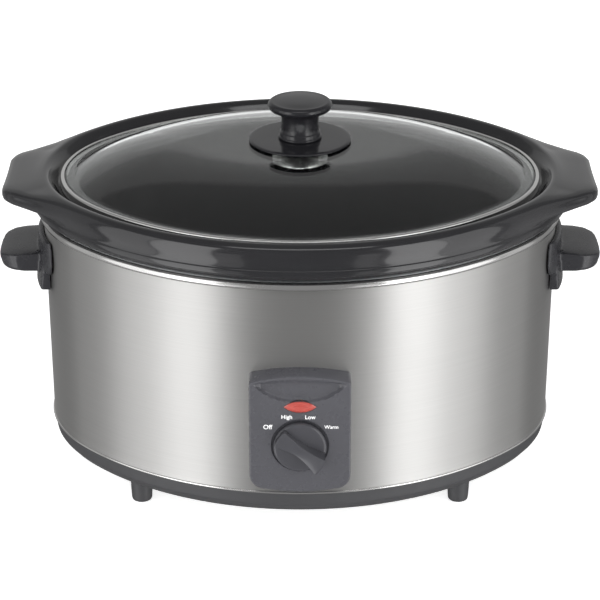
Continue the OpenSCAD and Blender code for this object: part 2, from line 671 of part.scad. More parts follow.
// Crock: stoneware pot with a crested rim, a lid seat and two lugs
module crock() color(glaze) placed() union() {
    lug_x = pot_length / 2 + lug_reach - lug_r;
    outer_r = end_radius + lip_reach;
    lean = acos((outer_r - lug_r) / norm([lug_x - end_c, lug_half])) + atan2(lug_half, lug_x - end_c);
    root_r = end_radius - 4;
    lip_z = crock_rest_z + 4.8;
    tip = crock_x - crock_wall - crock_draft - crock_corner - 2;
    sweep_oval() polygon([
        [crock_x - crock_draft - crock_corner, crock_z],
        [crock_x - crock_draft, crock_z + crock_corner + 2],
        [crock_x, crock_rest_z], [-1.5, crock_rest_z], [-1.5, lip_z - 1.1], [lip_reach - 0.6, lip_z],
        [lip_reach, lip_z + 0.9], [lip_reach, lip_z + 3.9], [lip_reach - 0.6, lip_z + 4.7],
        [lip_reach - 1.4, lip_z + 5.6], [lip_reach - 1.2, crest_z - 9], [lip_reach - 1.9, crest_z - 5.1],
        [lip_reach - 3.6, crest_z - 2.1], [lip_reach - 6, crest_z - 0.5], [lip_reach - 8.3, crest_z],
        [lip_reach - 10.6, crest_z - 0.7], [lip_reach - 12.4, crest_z - 2.3],
        [crest_in_x + 0.8, seat_z + 1.4], [crest_in_x, seat_z],
        [crock_x - crock_wall + 3.5, seat_z], [crock_x - crock_wall + 0.8, seat_z - 1.5],
        [crock_x - crock_wall, seat_z - 4.4],
        [crock_x - crock_wall - crock_draft, crock_z + crock_floor + crock_corner],
        [crock_x - crock_wall - crock_draft - crock_corner, crock_z + crock_floor],
        [lens_side(tip) - 3, crock_z + crock_floor], [lens_side(tip) - 3, crock_z]
    ]);
    lens_plate(tip, crock_z, crock_floor);
    for (s = [0, 180]) rotate([0, 0, s]) difference() {
        translate([0, 0, crest_z - 3.6 - lug_t]) linear_extrude(lug_t) union() {
            polygon([
                [end_c + outer_r * cos(lean), -outer_r * sin(lean)],
                [lug_x + lug_r * cos(lean), -lug_half - lug_r * sin(lean)],
                [lug_x + lug_r, -lug_half], [lug_x + lug_r, lug_half],
                [lug_x + lug_r * cos(lean), lug_half + lug_r * sin(lean)],
                [end_c + outer_r * cos(lean), outer_r * sin(lean)]
            ]);
            for (y = [-lug_half, lug_half]) translate([lug_x, y]) circle(r = lug_r);
        }
        translate([end_c, 0, crest_z - 4 - lug_t]) cylinder(r = root_r, h = lug_t + 2);
    }
}

// Glass: flat middle, then a circular arc down to the band
dome_in_x = 8 - end_radius;
dome_run = lid_x - lid_band_w - dome_in_x;
dome_r = (dome_run * dome_run + dome_rise * dome_rise) / (2 * dome_rise);
dome_end = asin(dome_run / dome_r);
dome_steps = 12;
glass_edge_x = lid_x - lid_band_t - fit_gap;

// Points along the dome, at a radius, from the middle outwards
function dome_arc(r) = [for (i = [0:dome_steps]) let (a = dome_end * i / dome_steps)
    [dome_in_x + r * sin(a), glass_top_z - dome_r + r * cos(a)]];

module lid_glass() color([0.8, 0.85, 0.85, 0.4]) placed() difference() {
    union() {
        sweep_oval() polygon(concat(
            [[lens_side(dome_in_x) - 1.5, glass_top_z - glass_t], [lens_side(dome_in_x) - 1.5, glass_top_z]],
            dome_arc(dome_r),
            [[glass_edge_x, glass_rim_z + glass_t], [glass_edge_x, glass_rim_z],
             [lid_x - lid_band_w - 2, glass_rim_z]],
            [for (i = [dome_steps:-1:0]) dome_arc(dome_r - glass_t)[i]]
        ));
        lens_plate(dome_in_x - 0.5, glass_top_z - glass_t, glass_t);
    }
    translate([0, 0, glass_top_z - glass_t - 1]) cylinder(d = 9, h = glass_t + 2);
}

// Steel band round the glass, open towards the middle
module lid_rim() color(bright) placed() sweep_oval() difference() {
    translate([lid_x - lid_band_w, lid_z]) square([lid_band_w, lid_band_h]);
    translate([lid_x - lid_band_w - 1, glass_rim_z - fit_gap])
        square([lid_band_w + 1 - lid_band_t, glass_t + 2 * fit_gap]);
}

// Knob parts, one above the other on the lid's middle
module lid_seal() color("dimgray") placed()
        translate([0, 0, glass_top_z - glass_t - fit_gap - 1.5]) difference() {
    cylinder(d = lid_washer_d - 12, h = 1.5);
    translate([0, 0, -1]) cylinder(d = 5, h = 4);
}

module lid_washer() color(bright) placed()
        translate([0, 0, glass_top_z - glass_t - 2 * fit_gap - 1.5]) rotate_extrude()
    polygon([
        [2.6, -1.2], [lid_washer_d / 2 - 7, -1.2], [lid_washer_d / 2 - 1.2, -9.4], [lid_washer_d / 2 - 1, -10],
        [lid_washer_d / 2, -10], [lid_washer_d / 2, -9.4], [lid_washer_d / 2 - 6, 0], [2.6, 0]
    ]);

module lid_knob_disc() color(plastic) placed() translate([0, 0, disc_z]) rotate_extrude() polygon([
    [2.6, 0], [disc_d / 2 - 1, 0], [disc_d / 2, 0.8], [disc_d / 2 - 0.4, disc_t - 0.5],
    [disc_d / 2 - 2, disc_t], [2.6, disc_t]
]);

module lid_knob() color(plastic) placed() translate([0, 0, knob_z]) difference() {
    h = knob_height;
    rotate_extrude() polygon([
        [0, 0], [stem_d / 2 + 1.4, 0], [stem_d / 2 + 1.4, 1.8], [stem_d / 2 + 0.6, 2.6], [stem_d / 2 + 0.6, 4.6],
        [stem_d / 2 - 0.3, 5.4], [stem_d / 2 - 0.7, h - cap_t - 1.5], [stem_d / 2 + 0.8, h - cap_t],
        [knob_d / 2 - 4, h - cap_t + 1.6], [knob_d / 2 - 1, h - cap_t + 4], [knob_d / 2, h - 4],
        [knob_d / 2 - 0.8, h - 1.8], [knob_d / 2 - 3, h - 0.8], [knob_d / 4, h - 0.2], [0, h]
    ]);
    translate([0, 0, -1]) cylinder(d = 4.1, h = 15);
}

module lid_screw() color(steel) placed() translate([0, 0, glass_top_z - glass_t - 3 * fit_gap - 2.7])
    screw(4, glass_t + disc_t + 14, 8, 2.2);

// Dial: disc with a bar grip, set at the first position
dial_bore_y = dial_front_y + 7;

module control_dial() color(plastic) placed() difference() {
    translate([0, dial_y, dial_z]) rotate([90, 0, 0]) union() {
        cylinder(d = dial_d, h = dial_disc_t);
        rotate([0, 0, 147]) intersection() {
            translate([-dial_d / 2, -5, 0]) cube([dial_d, 10, dial_disc_t + dial_grip]);
            cylinder(d = dial_d - 1, h = dial_disc_t + dial_grip);
        }
    }
    rod_y(0, dial_z, collar_d / 2 + 3.4, dial_y - 1.6, dial_y + 1);
    rod_y(0, dial_z, shaft_d / 2 + 1.3, dial_bore_y + 4, dial_y + 1);
    rod_y(0, dial_z, shaft_d / 2 + shaft_gap, dial_bore_y, dial_y + 1);
}

// Split spring sleeve that holds the dial on its shaft
module dial_spring() color(steel) placed() difference() {
    rod_y(0, dial_z, shaft_d / 2 + 0.8, dial_bore_y + 4.5, dial_bore_y + 8.5);
    rod_y(0, dial_z, shaft_d / 2 + shaft_gap, dial_bore_y + 3, dial_bore_y + 12);
    translate([-0.6, dial_bore_y + 3, dial_z]) cube([1.2, 10, 6]);
}

module switch_shaft() color(steel) placed()
    rod_y(0, dial_z, shaft_d / 2, dial_bore_y + 0.3, switch_y + switch_depth - 3);

module switch_rotor() color("firebrick") placed() difference() {
    union() {
        rod_y(0, dial_z, switch_w / 2 - 4, switch_y + 3.2, switch_y + 7.5);
        translate([0, switch_y + 7, dial_z]) rotate([90, 57, 0]) translate([-3, 1, 0])
            cube([6, switch_w / 2 - 4, 3.4]);
    }
    rod_y(0, dial_z, shaft_d / 2 + shaft_gap, switch_y, switch_y + switch_depth);
}

outer_shell();
base_pan();
feet();
foot_pads();
foot_screws();
inner_liner();
heater_band();
heater_straps();
insulation_wrap();
thermal_fuse();
fuse_clip();
centre_stud();
centre_washer();
centre_nut();
handle_left();
handle_right();
handle_screws();
handle_washers();
control_bezel();
bezel_screws();
indicator_lens();
neon_lamp();
lamp_holder();
switch_body();
switch_cover();
switch_contacts();
switch_nut();
terminal_block();
terminal_screws();
earth_stud();
earth_tag();
earth_nut();
cord_gland();
wire_live();
wire_neutral();
wire_earth();
wire_heater();
wire_fuse();
wire_lamp();
crock();
lid_glass();
lid_rim();
lid_seal();
lid_knob_disc();
lid_knob();
lid_washer();
lid_screw();
control_dial();
dial_spring();
switch_shaft();
switch_rotor();
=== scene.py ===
import json
import math

import bmesh
import bpy
import numpy as np
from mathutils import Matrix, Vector
from mathutils.geometry import delaunay_2d_cdt


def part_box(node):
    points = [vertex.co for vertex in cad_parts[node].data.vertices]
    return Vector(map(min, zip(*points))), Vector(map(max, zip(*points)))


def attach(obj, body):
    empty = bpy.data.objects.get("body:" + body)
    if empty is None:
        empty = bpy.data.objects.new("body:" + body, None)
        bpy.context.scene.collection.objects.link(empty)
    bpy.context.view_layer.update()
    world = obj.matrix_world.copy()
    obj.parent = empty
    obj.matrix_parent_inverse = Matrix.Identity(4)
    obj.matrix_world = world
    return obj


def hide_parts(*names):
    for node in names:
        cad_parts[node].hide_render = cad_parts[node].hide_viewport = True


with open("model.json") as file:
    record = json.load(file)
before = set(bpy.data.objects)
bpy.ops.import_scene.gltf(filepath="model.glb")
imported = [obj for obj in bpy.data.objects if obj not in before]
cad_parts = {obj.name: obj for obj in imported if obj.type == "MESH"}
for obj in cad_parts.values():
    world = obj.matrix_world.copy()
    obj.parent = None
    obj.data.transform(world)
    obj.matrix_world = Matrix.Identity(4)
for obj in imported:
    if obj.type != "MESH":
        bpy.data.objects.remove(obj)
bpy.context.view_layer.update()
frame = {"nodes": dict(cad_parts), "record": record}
mm = 0.001  # sizes below are in millimetres, and every mesh is made in metres
merge = 0.002 * mm  # points closer than this are one point


def boxOf(node):
    # lowest and highest corner of a node, in millimetres
    return [[c / mm for c in corner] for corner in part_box(node)]


# the four-centre oval that everything follows, read from the casing
shellLow, shellHigh = boxOf("outer_shell")
halfLength = (shellHigh[0] - shellLow[0]) / 2
halfWidth = (shellHigh[1] - shellLow[1]) / 2
midY = (shellHigh[1] + shellLow[1]) / 2
beadTop = shellHigh[2]
ovalUnit = (halfLength - halfWidth) / 30
endCentre = 55 * ovalUnit
sideCentre = 48 * ovalUnit
endRadius = halfWidth - 25 * ovalUnit
sideRadius = endRadius + 73 * ovalUnit
joinAngle = math.atan2(48, 55)


def ovalStations(count):
    # points on the bead's outline, and the direction of the normal at each
    arcs = [
        (endCentre, 0, endRadius, -joinAngle, joinAngle),
        (0, -sideCentre, sideRadius, joinAngle, math.pi - joinAngle),
        (-endCentre, 0, endRadius, math.pi - joinAngle, math.pi + joinAngle),
        (0, sideCentre, sideRadius, math.pi + joinAngle, 2 * math.pi - joinAngle),
    ]
    total = sum(r * (b - a) for _, _, r, a, b in arcs)
    rows = []
    for cx, cy, r, a, b in arcs:
        steps = max(6, round(count * r * (b - a) / total))
        turns = a + (b - a) * np.arange(steps) / steps
        rows.append(np.stack([cx + r * np.cos(turns), cy + r * np.sin(turns), turns]))
    return np.concatenate(rows, axis=1)


def ovalRing(stations, d, z):
    # one row of points at a distance d outside the bead and a height z
    xs, ys, turns = stations
    return np.stack([xs + d * np.cos(turns), midY + ys + d * np.sin(turns), 0 * xs + z], axis=1).tolist()


def casingX(y, d=-2.6):
    # x of the casing's end at a distance y from the middle line
    return endCentre + math.sqrt((endRadius + d) ** 2 - y * y)


def shifted(d0, z0, pairs):
    # a stretch of profile, measured from the point (d0, z0)
    return [(d0 + d, z0 + z) for d, z in pairs]


def addPiece(name, verts, faces, sharp=38):
    mesh = bpy.data.meshes.new(name)
    mesh.from_pydata([[float(c) * mm for c in v] for v in verts], [], [[int(i) for i in f] for f in faces])
    mesh.validate()
    piece = bpy.data.objects.new(name, mesh)
    bpy.context.scene.collection.objects.link(piece)
    outward(piece)
    smoothen(piece, sharp)
    return piece


def smoothen(piece, sharp=38):
    piece.data.shade_smooth()
    piece.data.set_sharp_from_angle(angle=math.radians(sharp))


def outward(piece):
    # merges doubles and turns every face out
    bm = bmesh.new()
    bm.from_mesh(piece.data)
    bmesh.ops.remove_doubles(bm, verts=bm.verts, dist=merge)
    bmesh.ops.recalc_face_normals(bm, faces=bm.faces)
    bm.to_mesh(piece.data)
    bm.free()
    piece.data.update()


def strip(a, b, count):
    # the faces between two closed rows of points
    return [(a + i, a + (i + 1) % count, b + (i + 1) % count, b + i) for i in range(count)]


def ringFaces(rows, count, closed=False):
    faces = []
    for r in range(rows if closed else rows - 1):
        faces += strip(r * count, ((r + 1) % rows) * count, count)
    return faces


def closeRow(verts, faces, start, count, z):
    # fills a row of points with four smaller rings and a point in the middle
    edge = start
    for share in (0.8, 0.6, 0.4, 0.2):
        fresh = len(verts)
        verts += [(x * share, midY + (y - midY) * share, z) for x, y, _ in verts[start:start + count]]
        faces += strip(edge, fresh, count)
        edge = fresh
    verts.append((0, midY, z))
    faces += [(edge + i, edge + (i + 1) % count, len(verts) - 1) for i in range(count)]


def sweepOval(name, profile, count=320, capStart=None, capEnd=None, closed=False, sharp=38):
    # profile: (distance outside the bead, height); a cap closes that end at the middle
    stations = ovalStations(count)
    n = stations.shape[1]
    verts = [p for d, z in profile for p in ovalRing(stations, d, z)]
    faces = ringFaces(len(profile), n, closed)
    if capStart is not None:
        closeRow(verts, faces, 0, n, capStart)
    if capEnd is not None:
        closeRow(verts, faces, (len(profile) - 1) * n, n, capEnd)
    return addPiece(name, verts, faces, sharp)


def turned(profile, count, place):
    # profile: (radius, height), where a radius of 0 closes the end; place puts a point in the model
    verts, rows, faces = [], [], []
    for r, h in profile:
        steps = count if r else 1
        rows.append(list(range(len(verts), len(verts) + steps)))
        for i in range(steps):
            t = 2 * math.pi * i / count
            verts.append(place(r * math.cos(t), r * math.sin(t), h))
    for a, b in zip(rows, rows[1:]):
        for i in range(count):
            j = (i + 1) % count
            if len(a) == 1:
                faces.append((a[0], b[j], b[i]))
            elif len(b) == 1:
                faces.append((a[i], a[j], b[0]))
            else:
                faces.append((a[i], a[j], b[j], b[i]))
    return verts, faces


def lathe(name, profile, centre=(0, 0, 0), count=96, sharp=38, lying=False):
    # a turned piece that stands on its centre, or lies with its axis towards the back
    cx, cy, cz = centre
    stand = lambda x, y, h: (cx + x, cy + y, cz + h)
    lie = lambda x, y, h: (cx + x, cy + h, cz + y)
    return addPiece(name, *turned(profile, count, lie if lying else stand), sharp)


def slab(nu, nv, top, bottom):
    # a closed block between two surfaces that are functions of (u, v), both from 0 to 1
    grid = [(i / nu, j / nv) for i in range(nu + 1) for j in range(nv + 1)]
    verts = [surface(u, v) for surface in (top, bottom) for u, v in grid]
    faces = []
    w, base = nv + 1, (nu + 1) * (nv + 1)

    def wall(a, b, flip):
        quad = (a, base + a, base + b, b)
        faces.append(quad[::-1] if flip else quad)

    for i in range(nu):
        for j in range(nv):
            a = i * w + j
            faces.append((a, a + w, a + w + 1, a + 1))
            faces.append((base + a + 1, base + a + w + 1, base + a + w, base + a))
    for i in range(nu):
        wall(i * w, (i + 1) * w, False)
        wall(i * w + nv, (i + 1) * w + nv, True)
    for j in range(nv):
        wall(j, j + 1, True)
        wall(nu * w + j, nu * w + j + 1, False)
    return verts, faces


def pooled(parts):
    # the points and faces of several parts as one list
    verts, faces = [], []
    for v, f in parts:
        base = len(verts)
        verts += list(v)
        faces += [tuple(base + i for i in face) for face in f]
    return verts, faces


def bake(piece):
    # turns the modifiers into the piece's plain mesh
    done = bpy.data.meshes.new_from_object(piece.evaluated_get(bpy.context.evaluated_depsgraph_get()))
    piece.modifiers.clear()
    piece.data = done


def finish(piece, body, slotName, *nodes, material=None):
    # finish, body and place in the model, all in one line
    piece.data.materials.clear()
    piece.data.materials.append(material or finishes[slotName])
    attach(piece, body)
    if nodes:
        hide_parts(*nodes)
    return piece


def growthTree(name, inputs):
    # an empty geometry tree with named inputs
    tree = bpy.data.node_groups.new(name, "GeometryNodeTree")
    tree.interface.new_socket("Geometry", in_out="INPUT", socket_type="NodeSocketGeometry")
    for label, kind in inputs:
        tree.interface.new_socket(label, in_out="INPUT", socket_type="NodeSocket" + kind)
    tree.interface.new_socket("Geometry", in_out="OUTPUT", socket_type="NodeSocketGeometry")
    return tree, tree.nodes.new("NodeGroupInput"), tree.nodes.new("NodeGroupOutput")


def endTree(tree, start, end, grown):
    # real mesh with its finish, as the last two steps of every tree
    real = tree.nodes.new("GeometryNodeRealizeInstances")
    paint = tree.nodes.new("GeometryNodeSetMaterial")
    tree.links.new(grown, real.inputs["Geometry"])
    tree.links.new(real.outputs["Geometry"], paint.inputs["Geometry"])
    tree.links.new(start.outputs["Finish"], paint.inputs["Material"])
    tree.links.new(paint.outputs["Geometry"], end.inputs["Geometry"])


def copiesTree():
    # puts one copy of a piece on each point, turned about Z by the point's own angle
    inputs = [("Piece", "Object"), ("Size", "Float"), ("Finish", "Material")]
    tree, start, end = growthTree("placeCopies", inputs)
    info = tree.nodes.new("GeometryNodeObjectInfo")
    turn = tree.nodes.new("GeometryNodeInputNamedAttribute")
    turn.data_type = "FLOAT"
    turn.inputs["Name"].default_value = "turn"
    about = tree.nodes.new("ShaderNodeCombineXYZ")
    place = tree.nodes.new("GeometryNodeInstanceOnPoints")
    tree.links.new(start.outputs["Piece"], info.inputs["Object"])
    tree.links.new(turn.outputs["Attribute"], about.inputs["Z"])
    tree.links.new(start.outputs["Geometry"], place.inputs["Points"])
    tree.links.new(info.outputs["Geometry"], place.inputs["Instance"])
    tree.links.new(about.outputs["Vector"], place.inputs["Rotation"])
    tree.links.new(start.outputs["Size"], place.inputs["Scale"])
    endTree(tree, start, end, place.outputs["Instances"])
    return tree


def rodTree():
    # a round rod along the edges of a mesh
    tree, start, end = growthTree("rollBead", [("Radius", "Float"), ("Sides", "Int"), ("Finish", "Material")])
    path = tree.nodes.new("GeometryNodeMeshToCurve")
    ring = tree.nodes.new("GeometryNodeCurvePrimitiveCircle")
    sweep = tree.nodes.new("GeometryNodeCurveToMesh")
    tree.links.new(start.outputs["Geometry"], path.inputs["Mesh"])
    tree.links.new(start.outputs["Radius"], ring.inputs["Radius"])
    tree.links.new(start.outputs["Sides"], ring.inputs["Resolution"])
    tree.links.new(path.outputs["Curve"], sweep.inputs["Curve"])
    tree.links.new(ring.outputs["Curve"], sweep.inputs["Profile Curve"])
    endTree(tree, start, end, sweep.outputs["Mesh"])
    return tree


def growTree(name, tree, verts, edges, values, turns=None):
    # runs a tree on a few points or edges and keeps the plain mesh
    mesh = bpy.data.meshes.new(name)
    mesh.from_pydata([[c * mm for c in v] for v in verts], edges, [])
    mesh.attributes.new("turn", "FLOAT", "POINT").data.foreach_set("value", turns or [0.0] * len(verts))
    piece = bpy.data.objects.new(name, mesh)
    bpy.context.scene.collection.objects.link(piece)
    grow = piece.modifiers.new("grow", "NODES")
    grow.node_group = tree
    sockets = {s.name: s.identifier for s in tree.interface.items_tree if s.in_out == "INPUT"}
    for label, value in values.items():
        grow[sockets[label]] = value
    bake(piece)
    outward(piece)
    smoothen(piece)
    return piece


placeCopies = copiesTree()
rollBead = rodTree()
print("helpers ready")


def shaderGroup(name, inputs):
    # an effect with its own sizes, which gives a tone, a gloss and a height
    tree = bpy.data.node_groups.new(name, "ShaderNodeTree")
    tree.interface.new_socket("Vector", in_out="INPUT", socket_type="NodeSocketVector")
    for label, value in inputs:
        tree.interface.new_socket(label, in_out="INPUT", socket_type="NodeSocketFloat").default_value = value
    for label in ("Tone", "Gloss", "Height"):
        tree.interface.new_socket(label, in_out="OUTPUT", socket_type="NodeSocketFloat")
    start, end = tree.nodes.new("NodeGroupInput"), tree.nodes.new("NodeGroupOutput")
    return tree, start.outputs, end.inputs


def setOrLink(tree, value, socket):
    if isinstance(value, (int, float)):
        socket.default_value = value
    else:
        tree.links.new(value, socket)


def noiseIn(tree, vector, scale, detail, rough=0.55):
    noise = tree.nodes.new("ShaderNodeTexNoise")
    noise.inputs["Detail"].default_value = detail
    noise.inputs["Roughness"].default_value = rough
    tree.links.new(vector, noise.inputs["Vector"])
    setOrLink(tree, scale, noise.inputs["Scale"])
    return noise.outputs["Fac"]


def mathIn(tree, kind, a, b):
    node = tree.nodes.new("ShaderNodeMath")
    node.operation = kind
    setOrLink(tree, a, node.inputs[0])
    setOrLink(tree, b, node.inputs[1])
    return node.outputs[0]


def blendIn(tree, a, shareA, b, shareB):
    return mathIn(tree, "ADD", mathIn(tree, "MULTIPLY", a, shareA), mathIn(tree, "MULTIPLY", b, shareB))


def grainGroup():
    # moulded plastic: fine pits, and broad patches of handling
    tree, given, out = shaderGroup("mouldedGrain", [("Grain", 2500.0), ("Patches", 22.0)])
    fine = noiseIn(tree, given["Vector"], given["Grain"], 3)
    broad = noiseIn(tree, given["Vector"], given["Patches"], 5)
    streak = noiseIn(tree, given["Vector"], 140, 4)
    tree.links.new(blendIn(tree, broad, 0.7, fine, 0.3), out["Tone"])
    tree.links.new(blendIn(tree, broad, 0.5, streak, 0.5), out["Gloss"])
    tree.links.new(fine, out["Height"])
    return tree


def brushGroup():
    # brush strokes: the noise is drawn out by a different amount along each axis
    inputs = [("Along X", 12.0), ("Along Y", 12.0), ("Along Z", 2600.0)]
    tree, given, out = shaderGroup("brushStrokes", inputs)
    split = tree.nodes.new("ShaderNodeSeparateXYZ")
    join = tree.nodes.new("ShaderNodeCombineXYZ")
    tree.links.new(given["Vector"], split.inputs[0])
    for i, axis in enumerate("XYZ"):
        tree.links.new(mathIn(tree, "MULTIPLY", split.outputs[i], given["Along " + axis]), join.inputs[i])
    strokes = noiseIn(tree, join.outputs[0], 1.0, 6, 0.7)
    broad = noiseIn(tree, given["Vector"], 9, 4)
    tree.links.new(strokes, out["Height"])
    tree.links.new(blendIn(tree, strokes, 0.8, broad, 0.2), out["Tone"])
    tree.links.new(blendIn(tree, strokes, 0.6, broad, 0.4), out["Gloss"])
    return tree


def glazeGroup():
    # glaze: slow waves from the kiln, pinholes and a faint speckle
    tree, given, out = shaderGroup("kilnGlaze", [("Waves", 28.0), ("Speckle", 900.0)])
    waves = noiseIn(tree, given["Vector"], given["Waves"], 2)
    speck = noiseIn(tree, given["Vector"], given["Speckle"], 4)
    pins = tree.nodes.new("ShaderNodeTexVoronoi")
    pins.inputs["Scale"].default_value = 260
    tree.links.new(given["Vector"], pins.inputs["Vector"])
    pit = mathIn(tree, "GREATER_THAN", pins.outputs["Distance"], 0.06)
    tree.links.new(blendIn(tree, waves, 0.6, speck, 0.4), out["Tone"])
    tree.links.new(blendIn(tree, waves, 0.5, speck, 0.5), out["Gloss"])
    tree.links.new(blendIn(tree, waves, 1.0, pit, 0.02), out["Height"])
    return tree


def clothGroup():
    # woven tape or braided sleeving: two crossed waves with some fuzz
    tree, given, out = shaderGroup("wovenTape", [("Threads", 1400.0)])
    heights = []
    for turn in ("X", "Z"):
        wave = tree.nodes.new("ShaderNodeTexWave")
        wave.bands_direction = turn
        wave.inputs["Distortion"].default_value = 1.2
        tree.links.new(given["Vector"], wave.inputs["Vector"])
        tree.links.new(given["Threads"], wave.inputs["Scale"])
        heights.append(wave.outputs["Fac"])
    fuzz = noiseIn(tree, given["Vector"], 3000, 3)
    weave = mathIn(tree, "MULTIPLY", heights[0], heights[1])
    tree.links.new(weave, out["Height"])
    tree.links.new(blendIn(tree, weave, 0.6, fuzz, 0.4), out["Tone"])
    tree.links.new(fuzz, out["Gloss"])
    return tree


mouldedGrain = grainGroup()
brushStrokes = brushGroup()
kilnGlaze = glazeGroup()
wovenTape = clothGroup()


def makeFinish(name, group, dark, light, gloss, bump, sizes=None, plain=None):
    # dark to light is the colour's spread, gloss the roughness's, bump the relief in millimetres
    material = bpy.data.materials.new(name)
    material.use_nodes = True
    nodes, links = material.node_tree.nodes, material.node_tree.links
    shader = nodes["Principled BSDF"]
    place = nodes.new("ShaderNodeTexCoord")
    marks = nodes.new("ShaderNodeGroup")
    marks.node_tree = group
    links.new(place.outputs["Object"], marks.inputs["Vector"])
    for label, value in (sizes or {}).items():
        marks.inputs[label].default_value = value
    tint = nodes.new("ShaderNodeMix")
    tint.data_type = "RGBA"
    tint.inputs["A"].default_value = (*dark, 1)
    tint.inputs["B"].default_value = (*light, 1)
    links.new(marks.outputs["Tone"], tint.inputs["Factor"])
    links.new(tint.outputs["Result"], shader.inputs["Base Color"])
    spread = nodes.new("ShaderNodeMapRange")
    for label, value in (("From Min", 0.3), ("From Max", 0.7), ("To Min", gloss[0]), ("To Max", gloss[1])):
        spread.inputs[label].default_value = value
    links.new(marks.outputs["Gloss"], spread.inputs["Value"])
    links.new(spread.outputs["Result"], shader.inputs["Roughness"])
    relief = nodes.new("ShaderNodeBump")
    relief.inputs["Strength"].default_value = 1.0
    relief.inputs["Distance"].default_value = bump * mm
    links.new(marks.outputs["Height"], relief.inputs["Height"])
    links.new(relief.outputs["Normal"], shader.inputs["Normal"])
    plain = {label.replace("_", " "): value for label, value in (plain or {}).items()}
    if "Anisotropic" in plain:  # the brush runs round the upright axis
        around = nodes.new("ShaderNodeTangent")
        around.direction_type, around.axis = "RADIAL", "Z"
        links.new(around.outputs["Tangent"], shader.inputs["Tangent"])
    for label, value in plain.items():
        shader.inputs[label].default_value = value
    return material


def shades(tone, spread):
    return [c * (1 - spread) for c in tone], [min(1, c * (1 + spread)) for c in tone]


def plastic(name, tone, gloss, grain=2600, bump=0.02, spread=0.16, **plain):
    return makeFinish(name, mouldedGrain, *shades(tone, spread), gloss, bump, {"Grain": grain}, plain)


def metal(name, tone, gloss, lines, bump=0.004, spread=0.08, **plain):
    sizes = dict(zip(("Along X", "Along Y", "Along Z"), lines))
    plain["Metallic"] = 1.0
    return makeFinish(name, brushStrokes, *shades(tone, spread), gloss, bump, sizes, plain)


def woven(name, dark, light, gloss, bump, threads=1400.0):
    return makeFinish(name, wovenTape, dark, light, gloss, bump, {"Threads": threads})


finishes = {
    "casing_steel": metal("brushedCasing", (0.60, 0.595, 0.585), (0.42, 0.52), (7.0, 7.0, 2600.0), 0.0035,
                          0.16, Anisotropic=0.86, Anisotropic_Rotation=0.25),
    "well_metal": metal("drawnWell", (0.62, 0.63, 0.64), (0.32, 0.48), (9.0, 9.0, 500.0), 0.006),
    "pan_plastic": plastic("panPlastic", (0.040, 0.040, 0.043), (0.42, 0.58), 2200, 0.03),
    "pad_rubber": plastic("padRubber", (0.022, 0.022, 0.024), (0.62, 0.80), 3500, 0.04),
    "handle_plastic": plastic("handlePlastic", (0.020, 0.020, 0.023), (0.20, 0.32), 2800, 0.008),
    "panel_plastic": plastic("panelPlastic", (0.062, 0.062, 0.070), (0.25, 0.30), 3000, 0.004, 0.08),
    "dial_plastic": plastic("dialPlastic", (0.046, 0.046, 0.052), (0.14, 0.20), 3000, 0.003),
    "knob_plastic": plastic("knobPlastic", (0.012, 0.012, 0.014), (0.10, 0.18), 3000, 0.003),
    "crock_glaze": makeFinish("stonewareGlaze", kilnGlaze, (0.006, 0.006, 0.007), (0.015, 0.015, 0.017),
                              (0.10, 0.20), 0.09, None, {"Coat_Weight": 0.5, "Coat_Roughness": 0.06}),
    "lid_glass": makeFinish("temperedGlass", mouldedGrain, (0.90, 0.925, 0.915), (0.95, 0.965, 0.96),
                            (0.0, 0.035), 0.0015, {"Grain": 60.0, "Patches": 14.0},
                            {"Transmission_Weight": 1.0, "IOR": 1.47, "Metallic": 0.0}),
    "rim_steel": metal("polishedBand", (0.74, 0.735, 0.725), (0.12, 0.24), (9.0, 9.0, 1500.0), 0.002),
    "washer_steel": metal("pressedWasher", (0.70, 0.70, 0.69), (0.18, 0.30), (300.0, 300.0, 300.0), 0.003),
    "strap_steel": metal("galvanisedStrap", (0.46, 0.46, 0.45), (0.38, 0.56), (60.0, 60.0, 400.0), 0.01, 0.2),
    "fastener_steel": metal("zincFastener", (0.56, 0.56, 0.54), (0.28, 0.44), (500.0, 500.0, 500.0),
                            0.006, 0.15),
    "brass": metal("satinBrass", (0.70, 0.54, 0.25), (0.28, 0.42), (500.0, 500.0, 500.0), 0.006, 0.15),
    "heater_tape": woven("heaterTape", (0.40, 0.28, 0.17), (0.62, 0.48, 0.32), (0.75, 0.95), 0.2),
    "glass_wool": woven("woolWrap", (0.74, 0.72, 0.64), (0.92, 0.90, 0.84), (0.85, 1.0), 0.4, 400.0),
    "nylon": plastic("naturalNylon", (0.80, 0.79, 0.73), (0.36, 0.52), 2600, 0.02, 0.05),
    "phenolic": plastic("phenolicBoard", (0.16, 0.075, 0.045), (0.22, 0.36), 1800, 0.01),
    "ceramic_body": plastic("fuseCeramic", (0.82, 0.81, 0.77), (0.50, 0.66), 2200, 0.03, 0.06),
    "neon_glass": plastic("neonBulb", (0.85, 0.40, 0.22), (0.06, 0.12), 400, 0.002, 0.10),
    "wire_brown": plastic("wireBrown", (0.18, 0.08, 0.04), (0.38, 0.52), 2400),
    "wire_blue": plastic("wireBlue", (0.05, 0.14, 0.40), (0.38, 0.52), 2400),
    "wire_green": plastic("wireGreen", (0.07, 0.30, 0.09), (0.38, 0.52), 2400),
    "wire_white": woven("glassSleeving", (0.66, 0.65, 0.60), (0.88, 0.87, 0.82), (0.7, 0.9), 0.1, 2400.0),
    "lens_plastic": plastic("lensRed", (0.36, 0.060, 0.048), (0.10, 0.18), 900, 0.004, 0.18,
                            Coat_Weight=1.0, Coat_Roughness=0.04),
}
printWhite = plastic("printedWhite", (0.78, 0.78, 0.78), (0.45, 0.60), 2600, 0.004, 0.05)
print("finishes ready:", len(finishes))

